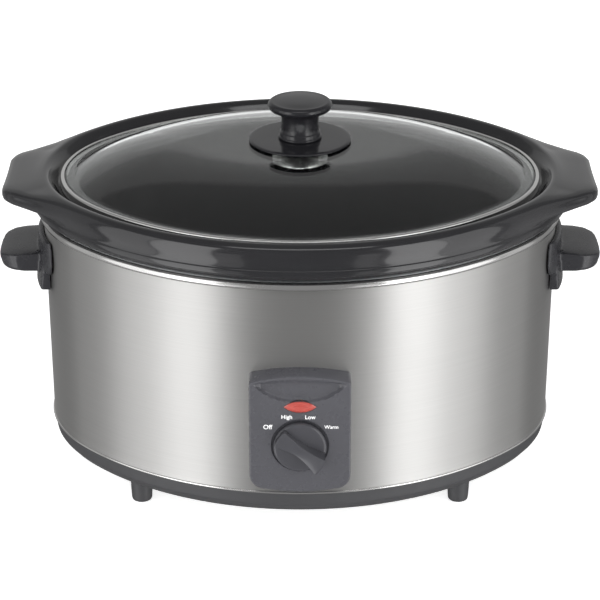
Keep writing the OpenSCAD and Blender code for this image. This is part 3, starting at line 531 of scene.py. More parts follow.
# carried-over pieces keep their shape and take the finish of their slot
for entry in frame["record"]["subparts"]:
    for socket in frame["nodes"][entry["node"]].material_slots:
        socket.material = finishes[entry["material_slot"]]


casing = {
    "beadRadius": 3.0, "beadSides": 28,
    "wall": 0.7, "top": -2.6, "low": -3.9,  # how far the wall stands outside the bead, above and below
    "hem": 0.55, "hemHeight": 1.9, "hemRadius": 0.95, "hemSides": 16,
    "stations": 400, "rows": 30,
}


def makeCasing():
    c = casing
    foot, r = shellLow[2], c["beadRadius"]
    high, start = beadTop - r, foot + 2.6
    outer = shifted(c["low"], foot, [
        (-0.2, 0), (c["hem"] - 0.1, 0.1), (c["hem"], 0.5), (c["hem"], c["hemHeight"] - 0.5),
        (0.25, c["hemHeight"]), (0.03, c["hemHeight"] + 0.4)])
    for i in range(c["rows"] + 1):
        part = i / c["rows"]
        outer.append((c["low"] + (c["top"] - c["low"]) * part, start + (high - start) * part))
    inner = [(c["top"] - c["wall"], high), (c["low"] - c["wall"], foot)]
    shell = sweepOval("casingWall", outer + inner, c["stations"], closed=True)
    finish(shell, "base", "casing_steel", "outer_shell")
    stations = ovalStations(c["stations"])
    n = stations.shape[1]
    edges = [(i, (i + 1) % n) for i in range(n)]
    rods = [("casingBead", -r, beadTop - r, r, c["beadSides"]),
            ("casingHem", c["low"] + 0.1, foot + c["hemRadius"], c["hemRadius"], c["hemSides"])]
    for name, d, z, radius, sides in rods:
        rod = growTree(name, rollBead, ovalRing(stations, d, z), edges,
                       {"Radius": radius * mm, "Sides": sides, "Finish": finishes["rim_steel"]})
        finish(rod, "base", "casing_steel", material=finishes["rim_steel"])


makeCasing()
print("casing made")


panLow, panHigh = boxOf("base_pan")
pan = {
    "bevelIn": -10.9, "band": -4.6, "bandTop": shellLow[2] - 0.15, "tongueIn": -4.75,
    "wall": 2.6, "sunk": 0.9,  # the floor lies a little above the pan's lower edge
    "ribs": 10, "ribStart": 20, "ribLong": 52, "ribWide": 2.2, "ribEdge": 1.8,
    "bossIn": 9.5, "bossOut": 13.4,
}


def makePan():
    p, z, top = pan, panLow[2], panHigh[2]
    wall, tongue = p["wall"], p["tongueIn"]
    profile = shifted(p["bevelIn"], z, [
        (-6, p["sunk"]), (-3.2, p["sunk"]), (-2.4, 0.2), (-1.4, 0), (-0.5, 0.1), (0.3, 0.5)])
    profile += shifted(p["band"], z, [(-1.6, 5.6), (-0.8, 6.9), (-0.5, 8.4)])
    profile += shifted(p["band"], p["bandTop"], [(-0.1, -1.2), (0, -0.5), (-0.1, -0.1)])
    profile += shifted(tongue, p["bandTop"], [(-0.1, 0), (0, 0.3)])
    profile += shifted(tongue, top, [(0, -0.4), (-0.3, 0), (0.3 - wall, 0), (-wall, -0.4)])
    profile += [(tongue - wall, z + 8), (p["bevelIn"] - wall, z + wall), (p["bevelIn"] - 8, z + wall)]
    piece = sweepOval("panMoulding", profile, 320, capStart=z + p["sunk"], capEnd=z + wall)
    finish(piece, "base", "pan_plastic", "base_pan")
    # a raised ring round the centre fixing
    a, b = p["bossIn"], p["bossOut"]
    lip = [(a, 0.8), (a, -0.2), (a + 0.6, -0.7), (b - 0.8, -0.7), (b - 0.2, -0.2), (b, 0.9), (a, 0.9)]
    ring = lathe("panBoss", lip, (0, midY, z + 0.1))
    finish(ring, "base", "pan_plastic")
    # stiffening ribs under the floor, spread round the ring
    along = lambda u: p["ribStart"] + p["ribLong"] * u
    model = addPiece("ribModel", *slab(
        10, 2, lambda u, v: (along(u), (v - 0.5) * p["ribWide"], 1.2),
        lambda u, v: (along(u), (v - 0.5) * p["ribEdge"], p["sunk"] - 0.9 * min(1, 6 * u, 6 * (1 - u)))))
    turns = [2 * math.pi * (i + 0.5) / p["ribs"] for i in range(p["ribs"])]
    ribs = growTree("panRibs", placeCopies, [(0, midY, z)] * p["ribs"], [],
                    {"Piece": model, "Size": 1.0, "Finish": finishes["pan_plastic"]}, turns)
    finish(ribs, "base", "pan_plastic")
    bpy.data.objects.remove(model)


feetLow, feetHigh = boxOf("feet")
foot = {"radius": 8, "toe": 5.6, "socket": 5.1, "pad": 5.0, "sides": 64, "padSides": 48}


def makeFeet():
    f = foot
    r, top, s, t = f["radius"], feetHigh[2], f["socket"], f["pad"]
    xFoot = (feetHigh[0] - feetLow[0]) / 2 - r
    yFoot = (feetHigh[1] - feetLow[1]) / 2 - r
    places = [(sx * xFoot, midY + sy * yFoot, 0) for sx in (-1, 1) for sy in (-1, 1)]
    body = [(0, 1.9), (s, 1.9), (s + 0.05, 0.7), (f["toe"], 0.4)]
    body += shifted(r, 0, [
        (-1.9, 0.55), (-1.2, 1.0), (-0.85, 1.9), (-0.7, 3.4), (-0.35, 10), (-0.2, 14), (0, 15),
        (0, top - 0.3), (-0.3, top)])
    pad = [(0, 0), (t - 1.1, 0), (t - 0.4, 0.15), (t - 0.1, 0.5), (t, 1.0), (t, 1.8), (0, 1.8)]
    for name, profile, sides, slotName, node in (
            ("footBodies", body + [(0, top)], f["sides"], "pan_plastic", "feet"),
            ("footPads", pad, f["padSides"], "pad_rubber", "foot_pads")):
        model = lathe(name + "Model", profile, count=sides)
        piece = growTree(name, placeCopies, places, [],
                         {"Piece": model, "Size": 1.0, "Finish": finishes[slotName]})
        finish(piece, "base", slotName, node)
        bpy.data.objects.remove(model)


makePan()
makeFeet()
print("pan and feet made")


wellLow, wellHigh = boxOf("inner_liner")
well = {"inset": -21, "sheet": 0.8, "corner": 9, "stations": 320, "backStations": 200}


def makeWell():
    w = well
    t, x, top, floor = w["sheet"], w["inset"], wellHigh[2], wellLow[2] + w["sheet"]
    profile = [(-4.1, top - 0.7), (-3.9, top - 0.4), (-4.1, top - 0.1), (-4.6, top)]
    profile += shifted(x, top, [(2.4, 0), (1.0, -0.3), (-0.2, -1.2), (-t, -3)])
    profile += [(x - t, top - 3 - (top - floor - 12) * i / 12) for i in range(1, 13)]
    for a in np.linspace(0, math.pi / 2, 9):
        profile.append((x - t - w["corner"] * (1 - math.cos(a)), floor + w["corner"] * (1 - math.sin(a))))
    profile += shifted(x, floor, [(-13, 0), (-14, 0.5), (-17, 0.9), (-20, 0.5), (-21, 0)])
    bend = floor + w["corner"] + 0.001
    under = [(d + t if z > bend else d, z - t) for d, z in profile][::-1]
    under[-1] = (-4.1, top - t)
    face = sweepOval("heatingWell", profile, w["stations"], capEnd=floor)
    back = sweepOval("heatingWellBack", under, w["backStations"], capStart=floor - t)
    bm = bmesh.new()
    bm.from_mesh(face.data)
    bm.from_mesh(back.data)
    bmesh.ops.remove_doubles(bm, verts=bm.verts, dist=merge)
    bm.to_mesh(face.data)
    bm.free()
    bpy.data.objects.remove(back)
    smoothen(face)
    finish(face, "base", "well_metal", "inner_liner")


makeWell()
print("well made")


crockLow, crockHigh = boxOf("crock")
crock = {
    "wallOut": -24, "wallIn": -31,  # outside and inside of the wall, from the bead
    "rimHeight": 26, "seatDrop": 10,
    "lugCorner": 24, "lugHalf": 25, "lugThick": 10, "lugDrop": 3.6, "rimOut": 3.4,
    "hollow": 5,  # how softly the lug's sides run into the rim
    "stations": 520,
}


def hullOf(points):
    # the outline stretched round a cloud of points
    def half(cloud):
        out = []
        for x, y in cloud:
            while len(out) > 1:
                (ax, ay), (bx, by) = out[-2:]
                if (bx - ax) * (y - ay) - (by - ay) * (x - ax) > 0:
                    break
                out.pop()
            out.append((x, y))
        return out[:-1]

    cloud = sorted(set((round(x, 4), round(y, 4)) for x, y in points))
    return np.array(half(cloud) + half(cloud[::-1]))


def lugReach(stations):
    # how far the lug's outline stands outside the rim along each normal
    c = crock
    r, rim = c["lugCorner"], endRadius + c["rimOut"]
    tip = crockHigh[0] - r
    points = []
    for cx, cy, radius in ((tip, -c["lugHalf"], r), (tip, c["lugHalf"], r), (endCentre, 0, rim)):
        for t in np.linspace(-math.pi, math.pi, 721):
            points.append((cx + radius * math.cos(t), cy + radius * math.sin(t)))
    hull = hullOf(points)
    ex, ey = (np.roll(hull, -1, axis=0) - hull).T
    reach = []
    for x, y, t in zip(*stations):
        nx, ny = abs(math.cos(t)), math.sin(t)
        gapX, gapY = abs(x) + c["rimOut"] * nx - hull[:, 0], y + c["rimOut"] * ny - hull[:, 1]
        det = ex * ny - ey * nx
        det[np.abs(det) < 1e-12] = 1e-12
        s = (gapX * ny - gapY * nx) / det
        along = (gapX * ey - gapY * ex) / det
        hits = along[(s >= -1e-9) & (s <= 1 + 1e-9) & (along > -1e-6)]
        reach.append(float(hits.max()) if len(hits) else 0.0)
    reach = np.array(reach)
    most = reach.max()
    return reach * (reach / (reach + c["hollow"])) * ((most + c["hollow"]) / most), most


def crockProfile():
    # distance and height of each row, then its share of the lug's reach and its height on a full lug
    c = crock
    top, floor = crockHigh[2], crockLow[2]
    rest, seat = top - c["rimHeight"], top - c["seatDrop"]
    lugTop = top - c["lugDrop"]
    lugLow = lugTop - c["lugThick"]
    out, inside = c["wallOut"], c["wallIn"]
    rows = shifted(out, floor, [
        (-13, 0.4), (-11, 0), (-8.5, 0.4), (-5.6, 3), (-3.6, 7.5), (-3, 13), (-2, 50), (-1, 90)])
    rows += shifted(out, rest, [(0, -4), (0, -1), (1, 0)])
    rows += shifted(0, rest, [
        (-4, 0), (-2.4, 0), (-1.6, 0.9), (-1.5, 3.0), (-1.0, 3.8), (1.6, 4.2), (3.9, 4.6), (4.6, 5.1),
        (4.8, 6.0), (4.8, 8.0), (4.6, 8.9), (4.0, 9.5)])
    rows += [(d, rest + z, share, high) for d, z, share, high in (
        (3.5, 10.1, 0.05, lugLow + 0.6), (3.4, 10.9, 0.35, lugLow + 0.15), (3.4, 11.8, 0.72, lugLow),
        (3.45, 12.8, 0.91, lugLow + 0.5), (3.5, 13.9, 0.985, lugLow + 1.7), (3.6, 15.2, 1.0, lugLow + 3.4),
        (3.6, 17.1, 1.0, lugLow + 5.4), (3.4, 19.0, 0.99, lugTop - 2.7), (2.9, 20.9, 0.95, lugTop - 1.3),
        (2.1, 22.6, 0.86, lugTop - 0.45), (1.0, 24.1, 0.66, lugTop + 0.1), (-0.4, 25.2, 0.36, lugTop + 0.9),
        (-1.7, 25.8, 0.13, lugTop + 1.9), (-3.2, 26.0, 0.02, top - 0.5), (-4.8, 25.9, 0, top - 0.4))]
    rows += shifted(0, top, [(-6.2, -0.9), (-7.7, -2.5), (-9.4, -4.9), (-11.4, -7.6)])
    rows += shifted(0, seat, [(-12.9, 0.7), (-14.2, 0.05), (-16, 0)])
    rows += shifted(inside, seat, [(4.6, 0), (2.2, -0.6), (0.7, -2.2), (0, -5), (-0.8, -40), (-1.8, -85)])
    rows += shifted(inside, floor, [(-3, 19), (-4.4, 13), (-7.4, 9.6), (-12, 8.2), (-16, 8)])
    return rows


def makeCrock():
    stations = ovalStations(crock["stations"])
    reach, most = lugReach(stations)
    share = np.minimum(1.0, reach / most * 1.25)
    share = share * share * (3 - 2 * share)
    rows, n, verts = crockProfile(), stations.shape[1], []
    for d, z, *lug in rows:
        out, high = lug or (0, z)
        verts += ovalRing(stations, d + out * reach, z + (high - z) * share)
    faces = ringFaces(len(rows), n)
    closeRow(verts, faces, 0, n, rows[0][1])
    closeRow(verts, faces, (len(rows) - 1) * n, n, rows[-1][1])
    finish(addPiece("crockBody", verts, faces, 60), "crock_pot", "crock_glaze", "crock")


makeCrock()
print("crock made")


glassLow, glassHigh = boxOf("lid_glass")
glass = {"thick": 4, "flange": 8, "edge": -16.15, "flat": -105.7, "hole": 4.5, "rings": 44, "stations": 360}


def makeGlass():
    g = glass
    t, edge, flange, flat = g["thick"], g["edge"], g["flange"], g["flat"]
    top, low = glassHigh[2], glassLow[2]
    rise = top - low - t
    start = edge - flange
    run = start - flat
    domes = [i / g["rings"] for i in range(g["rings"] + 1)]
    upper = [(edge, low + 0.4), (edge, low + t - 0.4), (edge - 0.4, low + t), (edge - flange * 0.6, low + t)]
    upper += [(start - run * part, top - rise * (1 - part) ** 2) for part in domes]
    lower = []
    for part in domes[::-1]:
        lean = math.atan(2 * rise / run * (1 - part))
        lower.append((start - run * part - t * math.sin(lean) * 0.8,
                      top - rise * (1 - part) ** 2 - t * math.cos(lean)))
    lower += [(edge - flange * 0.8, low + 0.05), (edge - 0.4, low)]
    stations = ovalStations(g["stations"])

    def towardsHole(z, share):
        # a row between the oval flat and the round hole for the screw
        row = []
        for x, y, _ in ovalRing(stations, flat, z):
            turn = math.atan2(y - midY, x)
            hx, hy = g["hole"] * math.cos(turn), midY + g["hole"] * math.sin(turn)
            row.append((x + (hx - x) * share, y + (hy - y) * share, z))
        return row

    verts = [p for d, z in upper for p in ovalRing(stations, d, z)]
    for share in (0.25, 0.5, 0.75, 1.0):
        verts += towardsHole(top, share)
    for share in (1.0, 0.75, 0.5, 0.25):
        verts += towardsHole(top - t, share)
    verts += [p for d, z in lower for p in ovalRing(stations, d, z)]
    n = stations.shape[1]
    piece = addPiece("lidGlass", verts, ringFaces(len(verts) // n, n, True), 60)
    finish(piece, "lid", "lid_glass", "lid_glass")


bandLow, bandHigh = boxOf("lid_rim")
band = {"outside": -15.2, "stations": 400}


def makeBand():
    # the rolled band grips the glass's edge: out and over the top, then back under
    out, low, high = band["outside"], bandLow[2], bandHigh[2]
    profile = [(out, low + 0.9)]
    profile += shifted(out, high, [
        (0, -1.6), (-0.2, -0.8), (-0.8, -0.2), (-1.6, 0), (-2.5, 0), (-2.95, -0.15), (-3.1, -0.45),
        (-2.9, -0.72), (-1.4, -0.78), (-0.95, -1.1), (-0.85, -1.7)])
    profile += shifted(out, low, [
        (-0.85, 1.2), (-1.1, 0.9), (-5.2, 0.8), (-5.7, 0.55), (-5.6, 0.2), (-5.1, 0), (-1.0, 0), (-0.3, 0.3)])
    piece = sweepOval("lidBand", profile, band["stations"], closed=True, sharp=60)
    finish(piece, "lid", "rim_steel", "lid_rim")


knobLow, knobHigh = boxOf("lid_knob")
discLow, discHigh = boxOf("lid_knob_disc")
cupLow, cupHigh = boxOf("lid_washer")
knob = {"capRadius": 22.7, "stem": 13.3, "cap": 8.5, "screwHole": 2.6, "cupHole": 2.7}


def makeKnob():
    high = knobHigh[2] - knobLow[2]
    r, s, hole, bore = knob["capRadius"], knob["stem"], knob["screwHole"], knob["cupHole"]
    under = high - knob["cap"]
    foot = shifted(s, 0, [
        (1.7, 0), (1.95, 0.25), (1.95, 1.5), (1.7, 1.8), (1.25, 1.95), (1.1, 2.3), (1.1, 4.3), (0.9, 4.7),
        (0.35, 4.95), (0.15, 5.3), (0, 8), (-0.1, 12)])
    neck = shifted(s, under, [(0, -3.0), (0.5, -1.4), (1.6, -0.3), (3.6, 0.3)])
    cap = shifted(r, under, [
        (-3.8, 0.85), (-2.1, 1.4), (-0.9, 2.35), (-0.25, 3.4), (0, 4.5), (-0.25, 5.6), (-0.95, 6.6),
        (-1.9, 7.3), (-2.7, 7.55), (-3.4, 7.5), (-5.2, 7.6), (-9, 8.0), (-14, 8.35)])
    profile = [(0, 0)] + foot + neck + cap + [(r - 19, high), (0, high)]
    grip = lathe("knobGrip", profile, (0, midY, knobLow[2]), 128, 70)
    finish(grip, "lid", "knob_plastic", "lid_knob")
    wide, t = (discHigh[0] - discLow[0]) / 2, discHigh[2] - discLow[2]
    edge = shifted(wide, 0, [
        (-1.6, 0), (-0.5, 0.25), (0, 0.8), (-0.1, 1.3), (-0.7, 1.75), (-1.8, t - 0.05), (-3.0, t)])
    disc = lathe("knobDisc", [(hole, 0)] + edge + [(wide * 0.6, t), (hole, t), (hole, 0)],
                 (0, midY, discLow[2]), 144, 60)
    finish(disc, "lid", "knob_plastic", "lid_knob_disc")
    wide, deep = (cupHigh[0] - cupLow[0]) / 2, cupHigh[2] - cupLow[2]
    skirt = shifted(wide, 0, [
        (-7.5, deep), (-5.4, deep - 0.6), (-4.0, deep - 2.2), (-0.8, 1.8), (-0.2, 0.9), (0, 0.4), (-0.3, 0),
        (-0.9, 0.3), (-1.6, 1.9), (-4.8, deep - 2.6), (-6.0, deep - 1.3), (-7.8, deep - 1.0)])
    cup = lathe("washerCup", [(bore, deep)] + skirt + [(bore, deep - 1.0), (bore, deep)],
                (0, midY, cupLow[2]), 112, 60)
    finish(cup, "lid", "washer_steel", "lid_washer")


makeGlass()
makeBand()
makeKnob()
print("lid made")


handleLow, handleHigh = boxOf("handle_right")
handle = {
    "grip": 28, "corner": 15, "gripTop": -14, "gripDeep": 14, "shell": 3.6,  # grip is half its width
    "pad": 45, "padThick": 4.4, "padEdge": 1.3, "tongue": 11, "root": 36.5,
    "near": -2.3,  # the casing's surface, measured from the bead
    "shelfStart": 181, "shelfRun": 34,  # x where the shelf starts to fall, and over what length
    "voxel": 0.75, "rounds": 5,
}


def outlineX(y):
    # the grip's outer edge, with its rounded corners
    h = handle
    over = abs(y) - (h["grip"] - h["corner"])
    far = handleHigh[0] - 0.15
    if over <= 0:
        return far - 0.35 * (y / (h["grip"] - h["corner"])) ** 2
    return far - 0.35 - h["corner"] + math.sqrt(max(0, h["corner"] ** 2 - min(over, h["corner"]) ** 2))


def handleParts():
    # the closed parts that are melted into one handle, and where its two screw plugs go
    h = handle
    near, span = h["near"], h["grip"] - 0.1
    topZ = handleHigh[2] + h["gripTop"]
    lowZ = topZ - h["gripDeep"]

    def along(y, part):
        a, b = casingX(y, near), outlineX(y)
        return a + (b - a) * part

    def topOf(x, y):
        # the shelf slopes a little outwards and rolls over at its edges
        part = max(0, (x - h["shelfStart"]) / h["shelfRun"])
        return topZ + 0.2 - 3.0 * part ** 1.8 - 1.2 * part ** 9 - 0.9 * (abs(y) / h["grip"]) ** 5

    def shelfTop(u, v):
        y = (2 * v - 1) * span
        return along(y, u), y, topOf(along(y, u), y)

    def shelfUnder(u, v):
        y = (2 * v - 1) * span
        return along(y, u), y, topZ - 7.4

    def rimTop(u, v):
        y = (2 * v - 1) * span
        return outlineX(y) - h["shell"] * (1 - u), y, topZ - 5.4

    def rimFoot(u, v):
        y = (2 * v - 1) * span
        return outlineX(y) - h["shell"] * (1 - u) - 1.2 * u, (2 * v - 1) * (span - 0.6), lowZ + 2.2 * u ** 2

    def sideTop(s):
        return lambda u, v: (along(s * (span - 3.8 * v), u * 0.985), s * (span - 3.8 * v), topZ - 5.4)

    def sideFoot(s):
        return lambda u, v: (along(s * (span - 3.8 * v), u * 0.97), s * (span - 3.8 * v),
                             lowZ + 2.2 * max(0, (u - 0.7) / 0.3) ** 2)

    def rootTop(u, v):
        y = (2 * v - 1) * h["root"]
        return casingX(y, near) + u * 5.2, y, topZ - 6

    def rootFoot(u, v):
        y = (2 * v - 1) * h["root"]
        return casingX(y, near) + u * 6.8, (2 * v - 1) * (h["root"] - 1.2), lowZ - h["tongue"] - 0.3

    def padPoint(outside):
        # hugs the casing, its outline rounded and its edge thin
        padTop, padFoot = handleHigh[2] - 0.1, lowZ + 2.6

        def point(u, v):
            wide = h["pad"] * (1 - 0.04 * max(0, 2 * u - 1) ** 2.2 - 0.10 * max(0, 1 - 2 * u) ** 2.2)
            y = (2 * v - 1) * wide
            edge = min(1, (1 - abs(2 * v - 1)) * 6, (1 - abs(2 * u - 1)) * 5 + 0.25)
            thick = h["padEdge"] + (h["padThick"] - h["padEdge"]) * math.sqrt(max(0, edge))
            return casingX(y, near) + outside * thick, y, padFoot + (padTop - padFoot) * u
        return point

    parts = [slab(36, 40, shelfTop, shelfUnder), slab(2, 60, rimTop, rimFoot)]
    parts += [slab(30, 3, sideTop(s), sideFoot(s)) for s in (-1, 1)]
    parts += [slab(4, 30, rootTop, rootFoot), slab(22, 60, padPoint(1), padPoint(0))]
    plugs = []
    for s in (-1, 1):
        y = s * (span - 4.4)
        x = casingX(y, near) + 5.4
        plugs.append(("Front" if s < 0 else "Back", x, y, topOf(x, y) - 0.1))
    return parts, plugs


def makeHandles():
    h = handle
    parts, plugs = handleParts()
    plug = [(0, -0.5), (2.0, -0.5), (2.1, 0.55), (1.9, 0.8), (1.3, 0.85), (1.1, 0.45), (0, 0.4)]
    for side, word in ((1, "Right"), (-1, "Left")):
        verts, faces = pooled(parts)
        piece = addPiece("handle" + word, [(side * x, midY + y, z) for x, y, z in verts], faces)
        melt = piece.modifiers.new("melt", "REMESH")
        melt.mode, melt.voxel_size = "VOXEL", h["voxel"] * mm
        soft = piece.modifiers.new("soft", "SMOOTH")
        soft.factor, soft.iterations = 0.5, h["rounds"]
        bake(piece)
        smoothen(piece, 60)
        finish(piece, "base", "handle_plastic", "handle_" + word.lower())
        for end, x, y, z in plugs:  # they cover the screw pockets in the shelf
            finish(lathe("plug" + word + end, plug, (side * x, midY + y, z), 40), "base", "handle_plastic")


makeHandles()
print("handles made")


panelLow, panelHigh = boxOf("control_bezel")
lensLow, lensHigh = boxOf("indicator_lens")
dialLow, dialHigh = boxOf("control_dial")
dialZ = (dialLow[2] + dialHigh[2]) / 2
lensZ = (lensLow[2] + lensHigh[2]) / 2
panel = {
    "lowCorner": 10.5, "topCorner": 3.2, "topTurn": 0.93, "crown": 4.4, "belly": 2.4, "ledge": 2.7,
    "recess": 19.4, "recessDeep": 2, "window": 0.55,
    "scoop": 3.2, "scoopLow": 111.9, "scoopRise": 13, "scoopWide": 31, "scoopTop": 1.9, "scoopCrown": 34.4,
    "grid": 0.8, "circle": 96,
}


def panelOutline(inset, ledge):
    # outline seen from the front, as (x, z), lowered at the top by ledge
    p = panel
    w = (panelHigh[0] - panelLow[0]) / 2
    low, high = panelLow[2], panelHigh[2]
    corner, small = p["lowCorner"], p["topCorner"]
    flat, sideLow, sideHigh = w - corner, low + p["belly"] + corner, high - p["crown"] - small
    half = [(flat * i / 12, low + p["belly"] * (i / 12) ** 2) for i in range(13)]
    for i in range(1, 17):
        t = math.pi / 2 * (i / 16 - 1)
        half.append((flat + corner * math.cos(t), sideLow + corner * math.sin(t)))
    half += [(w, sideLow + (sideHigh - sideLow) * i / 40) for i in range(1, 41)]
    for i in range(1, 11):
        t = math.pi / 2 * p["topTurn"] * i / 10
        half.append((w - small + small * math.cos(t), sideHigh + small * math.sin(t)))
    x0, z0 = half[-1]
    half += [(x0 * (1 - i / 24), z0 + (high - z0) * (1 - (1 - i / 24) ** 2)) for i in range(1, 25)]
    loop = np.array(half + [(-x, z) for x, z in half[-2:0:-1]])
    run = np.roll(loop, -1, axis=0) - np.roll(loop, 1, axis=0)
    run /= np.linalg.norm(run, axis=1)[:, None]
    loop = loop + inset * np.stack([-run[:, 1], run[:, 0]], axis=1)
    middle = (low + high) / 2
    loop[:, 1] -= ledge * np.clip((loop[:, 1] - middle) / (high - middle), 0, 1) ** 2
    return loop


def lensLoop(grow, count=48):
    # pointed oval
    w = (lensHigh[0] - lensLow[0]) / 2 + grow
    t = (lensHigh[2] - lensLow[2]) / 2 + grow
    pts = []
    for i in range(count):
        a = 2 * math.pi * i / count
        x = math.cos(a)
        z = (1 - abs(x) ** 2.4) * (0.86 if math.sin(a) >= 0 else -0.86)
        pts.append((w * x * 0.97, lensZ + t * z))
    return np.array(pts)


def circleLoop(radius, count):
    turns = 2 * math.pi * np.arange(count) / count
    return np.stack([radius * np.cos(turns), dialZ + radius * np.sin(turns)], axis=1)


def scoopDepth(x, z):
    # the hollow over the lens: it falls in fast at the bottom and comes back under the ledge
    p = panel
    side = abs(x) / p["scoopWide"]
    bottom = p["scoopLow"] + p["scoopRise"] * side ** 2.6
    top = panelHigh[2] - p["ledge"] - p["scoopTop"] - p["crown"] * (x / p["scoopCrown"]) ** 2
    if side >= 1 or z <= bottom or z >= top:
        return 0
    v = (z - bottom) / max(top - bottom, 1)
    fall, back = min(1, v / 0.14), min(1, (1 - v) / 0.34)
    return p["scoop"] * math.sin(fall * math.pi / 2) * math.sin(back * math.pi / 2) * min(1, (1 - side) * 7)


def insideLoop(x, z, loop):
    a, b = loop, np.roll(loop, -1, axis=0)
    cross = (a[:, 1] > z) != (b[:, 1] > z)
    with np.errstate(divide="ignore", invalid="ignore"):
        at = a[:, 0] + (z - a[:, 1]) / (b[:, 1] - a[:, 1]) * (b[:, 0] - a[:, 0])
    return bool(np.count_nonzero(cross & (x < at)) % 2)


def fillFace(outer, holes, spacing, y):
    # triangles between the outline and the holes, set back by the scoop
    points, edges = [], []
    for loop in [outer] + holes:
        base, count = len(points), len(loop)
        points += [tuple(q) for q in loop]
        edges += [(base + i, base + (i + 1) % count) for i in range(count)]
    fixed = np.array(points)
    onFace = lambda x, z: insideLoop(x, z, outer) and not any(insideLoop(x, z, hole) for hole in holes)
    (x0, z0), (x1, z1) = outer.min(axis=0), outer.max(axis=0)
    for i, x in enumerate(np.arange(x0, x1, spacing)):
        for z in np.arange(z0, z1, spacing) + (spacing / 2 if i % 2 else 0):
            if np.min(np.hypot(*(fixed - (x, z)).T)) > spacing * 0.45 and onFace(x, z):
                points.append((x, z))
    verts, _, faces, _, _, _ = delaunay_2d_cdt([Vector(q) for q in points], edges, [], 0, 1e-4)
    kept = [tuple(f) for f in faces if onFace(*(sum(verts[i][k] for i in f) / len(f) for k in (0, 1)))]
    return [(x, y + scoopDepth(x, z), z) for x, z in verts], kept


def makePanel():
    p = panel
    face, back = panelLow[1], panelHigh[1]
    rings = [(0, 0, back), (0, 0.10, back - 0.25 * (back - face)), (0, 0.5, face + 4), (0, 0.86, face + 1.6),
             (0.06, 0.95, face + 1.05), (0.24, 0.99, face + 0.52), (0.55, 1, face + 0.2),
             (0.95, 1, face + 0.04), (1.3, 1, face)]
    loops = [[(x, y, z) for x, z in panelOutline(inset, p["ledge"] * part)] for inset, part, y in rings]
    parts = [(sum(loops, []), ringFaces(len(loops), len(loops[0])))]
    # the dial's recess with its raised edge, and the lens's window
    r, deep, m = p["recess"], p["recessDeep"], p["circle"]
    recess = [(r + 0.55, 0), (r + 0.25, 0.06), (r, 0.35), (r - 0.1, deep - 0.2), (r - 0.4, deep), (6, deep)]
    loops = [[(x, face + y, z) for x, z in circleLoop(radius, m)] for radius, y in recess]
    parts.append((sum(loops, []), ringFaces(len(loops), m)))
    window = [(p["window"], 0), (0.25, 0.12), (0.12, 0.5), (0.1, 2.5)]
    loops = [[(x, face + y, z) for x, z in lensLoop(grow)] for grow, y in window]
    parts.append((sum(loops, []), ringFaces(len(loops), len(loops[0]))))
    holes = [circleLoop(recess[0][0], m), lensLoop(p["window"])]
    parts.append(fillFace(panelOutline(rings[-1][0], p["ledge"]), holes, p["grid"], face))
    piece = addPiece("panelCap", *pooled(parts), 42)
    front = [q for q in piece.data.polygons if abs(q.center.y - face * mm) < 0.3 * mm]
    if sum(q.normal.y * q.area for q in front) > 0:
        piece.data.flip_normals()
    smoothen(piece, 42)
    finish(piece, "base", "panel_plastic", "control_bezel")


lens = {
    # share of the outline and depth of each ring of facets, from the back edge to the middle
    "rings": [(1.0, 2.6), (1.0, 1.3), (0.93, 0.9), (0.58, 0.0), (0.50, 0.05), (0.14, 1.0)],
    "gap": 0.05, "sides": 24, "middle": 1.05,
}


def makeLens():
    face, n, rings = lensLow[1], lens["sides"], lens["rings"]
    verts = []
    for scale, deep in rings:
        verts += [(x * scale, face + deep, lensZ + (z - lensZ) * scale) for x, z in lensLoop(-lens["gap"], n)]
    faces = ringFaces(len(rings), n)
    last = (len(rings) - 1) * n
    verts += [(0, face + lens["middle"], lensZ), (0, face + rings[0][1], lensZ)]
    faces += [(last + i, last + (i + 1) % n, len(verts) - 2) for i in range(n)]
    faces += [((i + 1) % n, i, len(verts) - 1) for i in range(n)]
    finish(addPiece("lensGem", verts, faces, 14), "base", "lens_plastic", "indicator_lens")


printed = {
    "lift": 0.025, "thick": 0.04, "bold": 0.018,
    # word, its middle beside and its foot above the dial's axis, and its width
    "words": [("Off", -21.6, 14.0, 6.2), ("High", -8.9, 21.6, 7.2), ("Low", 7.0, 21.4, 7.0),
              ("Warm", 21.0, 14.0, 9.4)],
}


def makeWords():
    # position words round the dial, printed on the panel
    parts = []
    for word, dx, dz, wide in printed["words"]:
        curve = bpy.data.curves.new(word, "FONT")
        curve.body = word
        curve.align_x, curve.align_y = "CENTER", "CENTER"
        curve.extrude, curve.resolution_u, curve.offset = 0.5, 4, printed["bold"]
        stand = bpy.data.objects.new(word, curve)
        bpy.context.scene.collection.objects.link(stand)
        mesh = bpy.data.meshes.new_from_object(stand.evaluated_get(bpy.context.evaluated_depsgraph_get()))
        pts = np.array([v.co[:] for v in mesh.vertices])
        left, right = pts[:, 0].min(), pts[:, 0].max()
        scale = wide / (right - left)
        parts.append((
            [((x - (left + right) / 2) * scale + dx, panelLow[1] - printed["lift"] - z * printed["thick"],
              y * scale + dialZ + dz) for x, y, z in pts],
            [tuple(poly.vertices) for poly in mesh.polygons]))
        bpy.data.objects.remove(stand)
    finish(addPiece("panelWords", *pooled(parts)), "base", "panel_plastic", material=printWhite)


dial = {
    "radius": 18, "disc": 4.6, "turn": 147,  # degrees from the right, where the pointer stands at rest
    "half": 17.2, "waist": 3.7, "flare": 3.0, "tail": 11.8, "nose": 5.4, "sag": 1.5, "bevel": 0.35,
    "sides": 120,
}


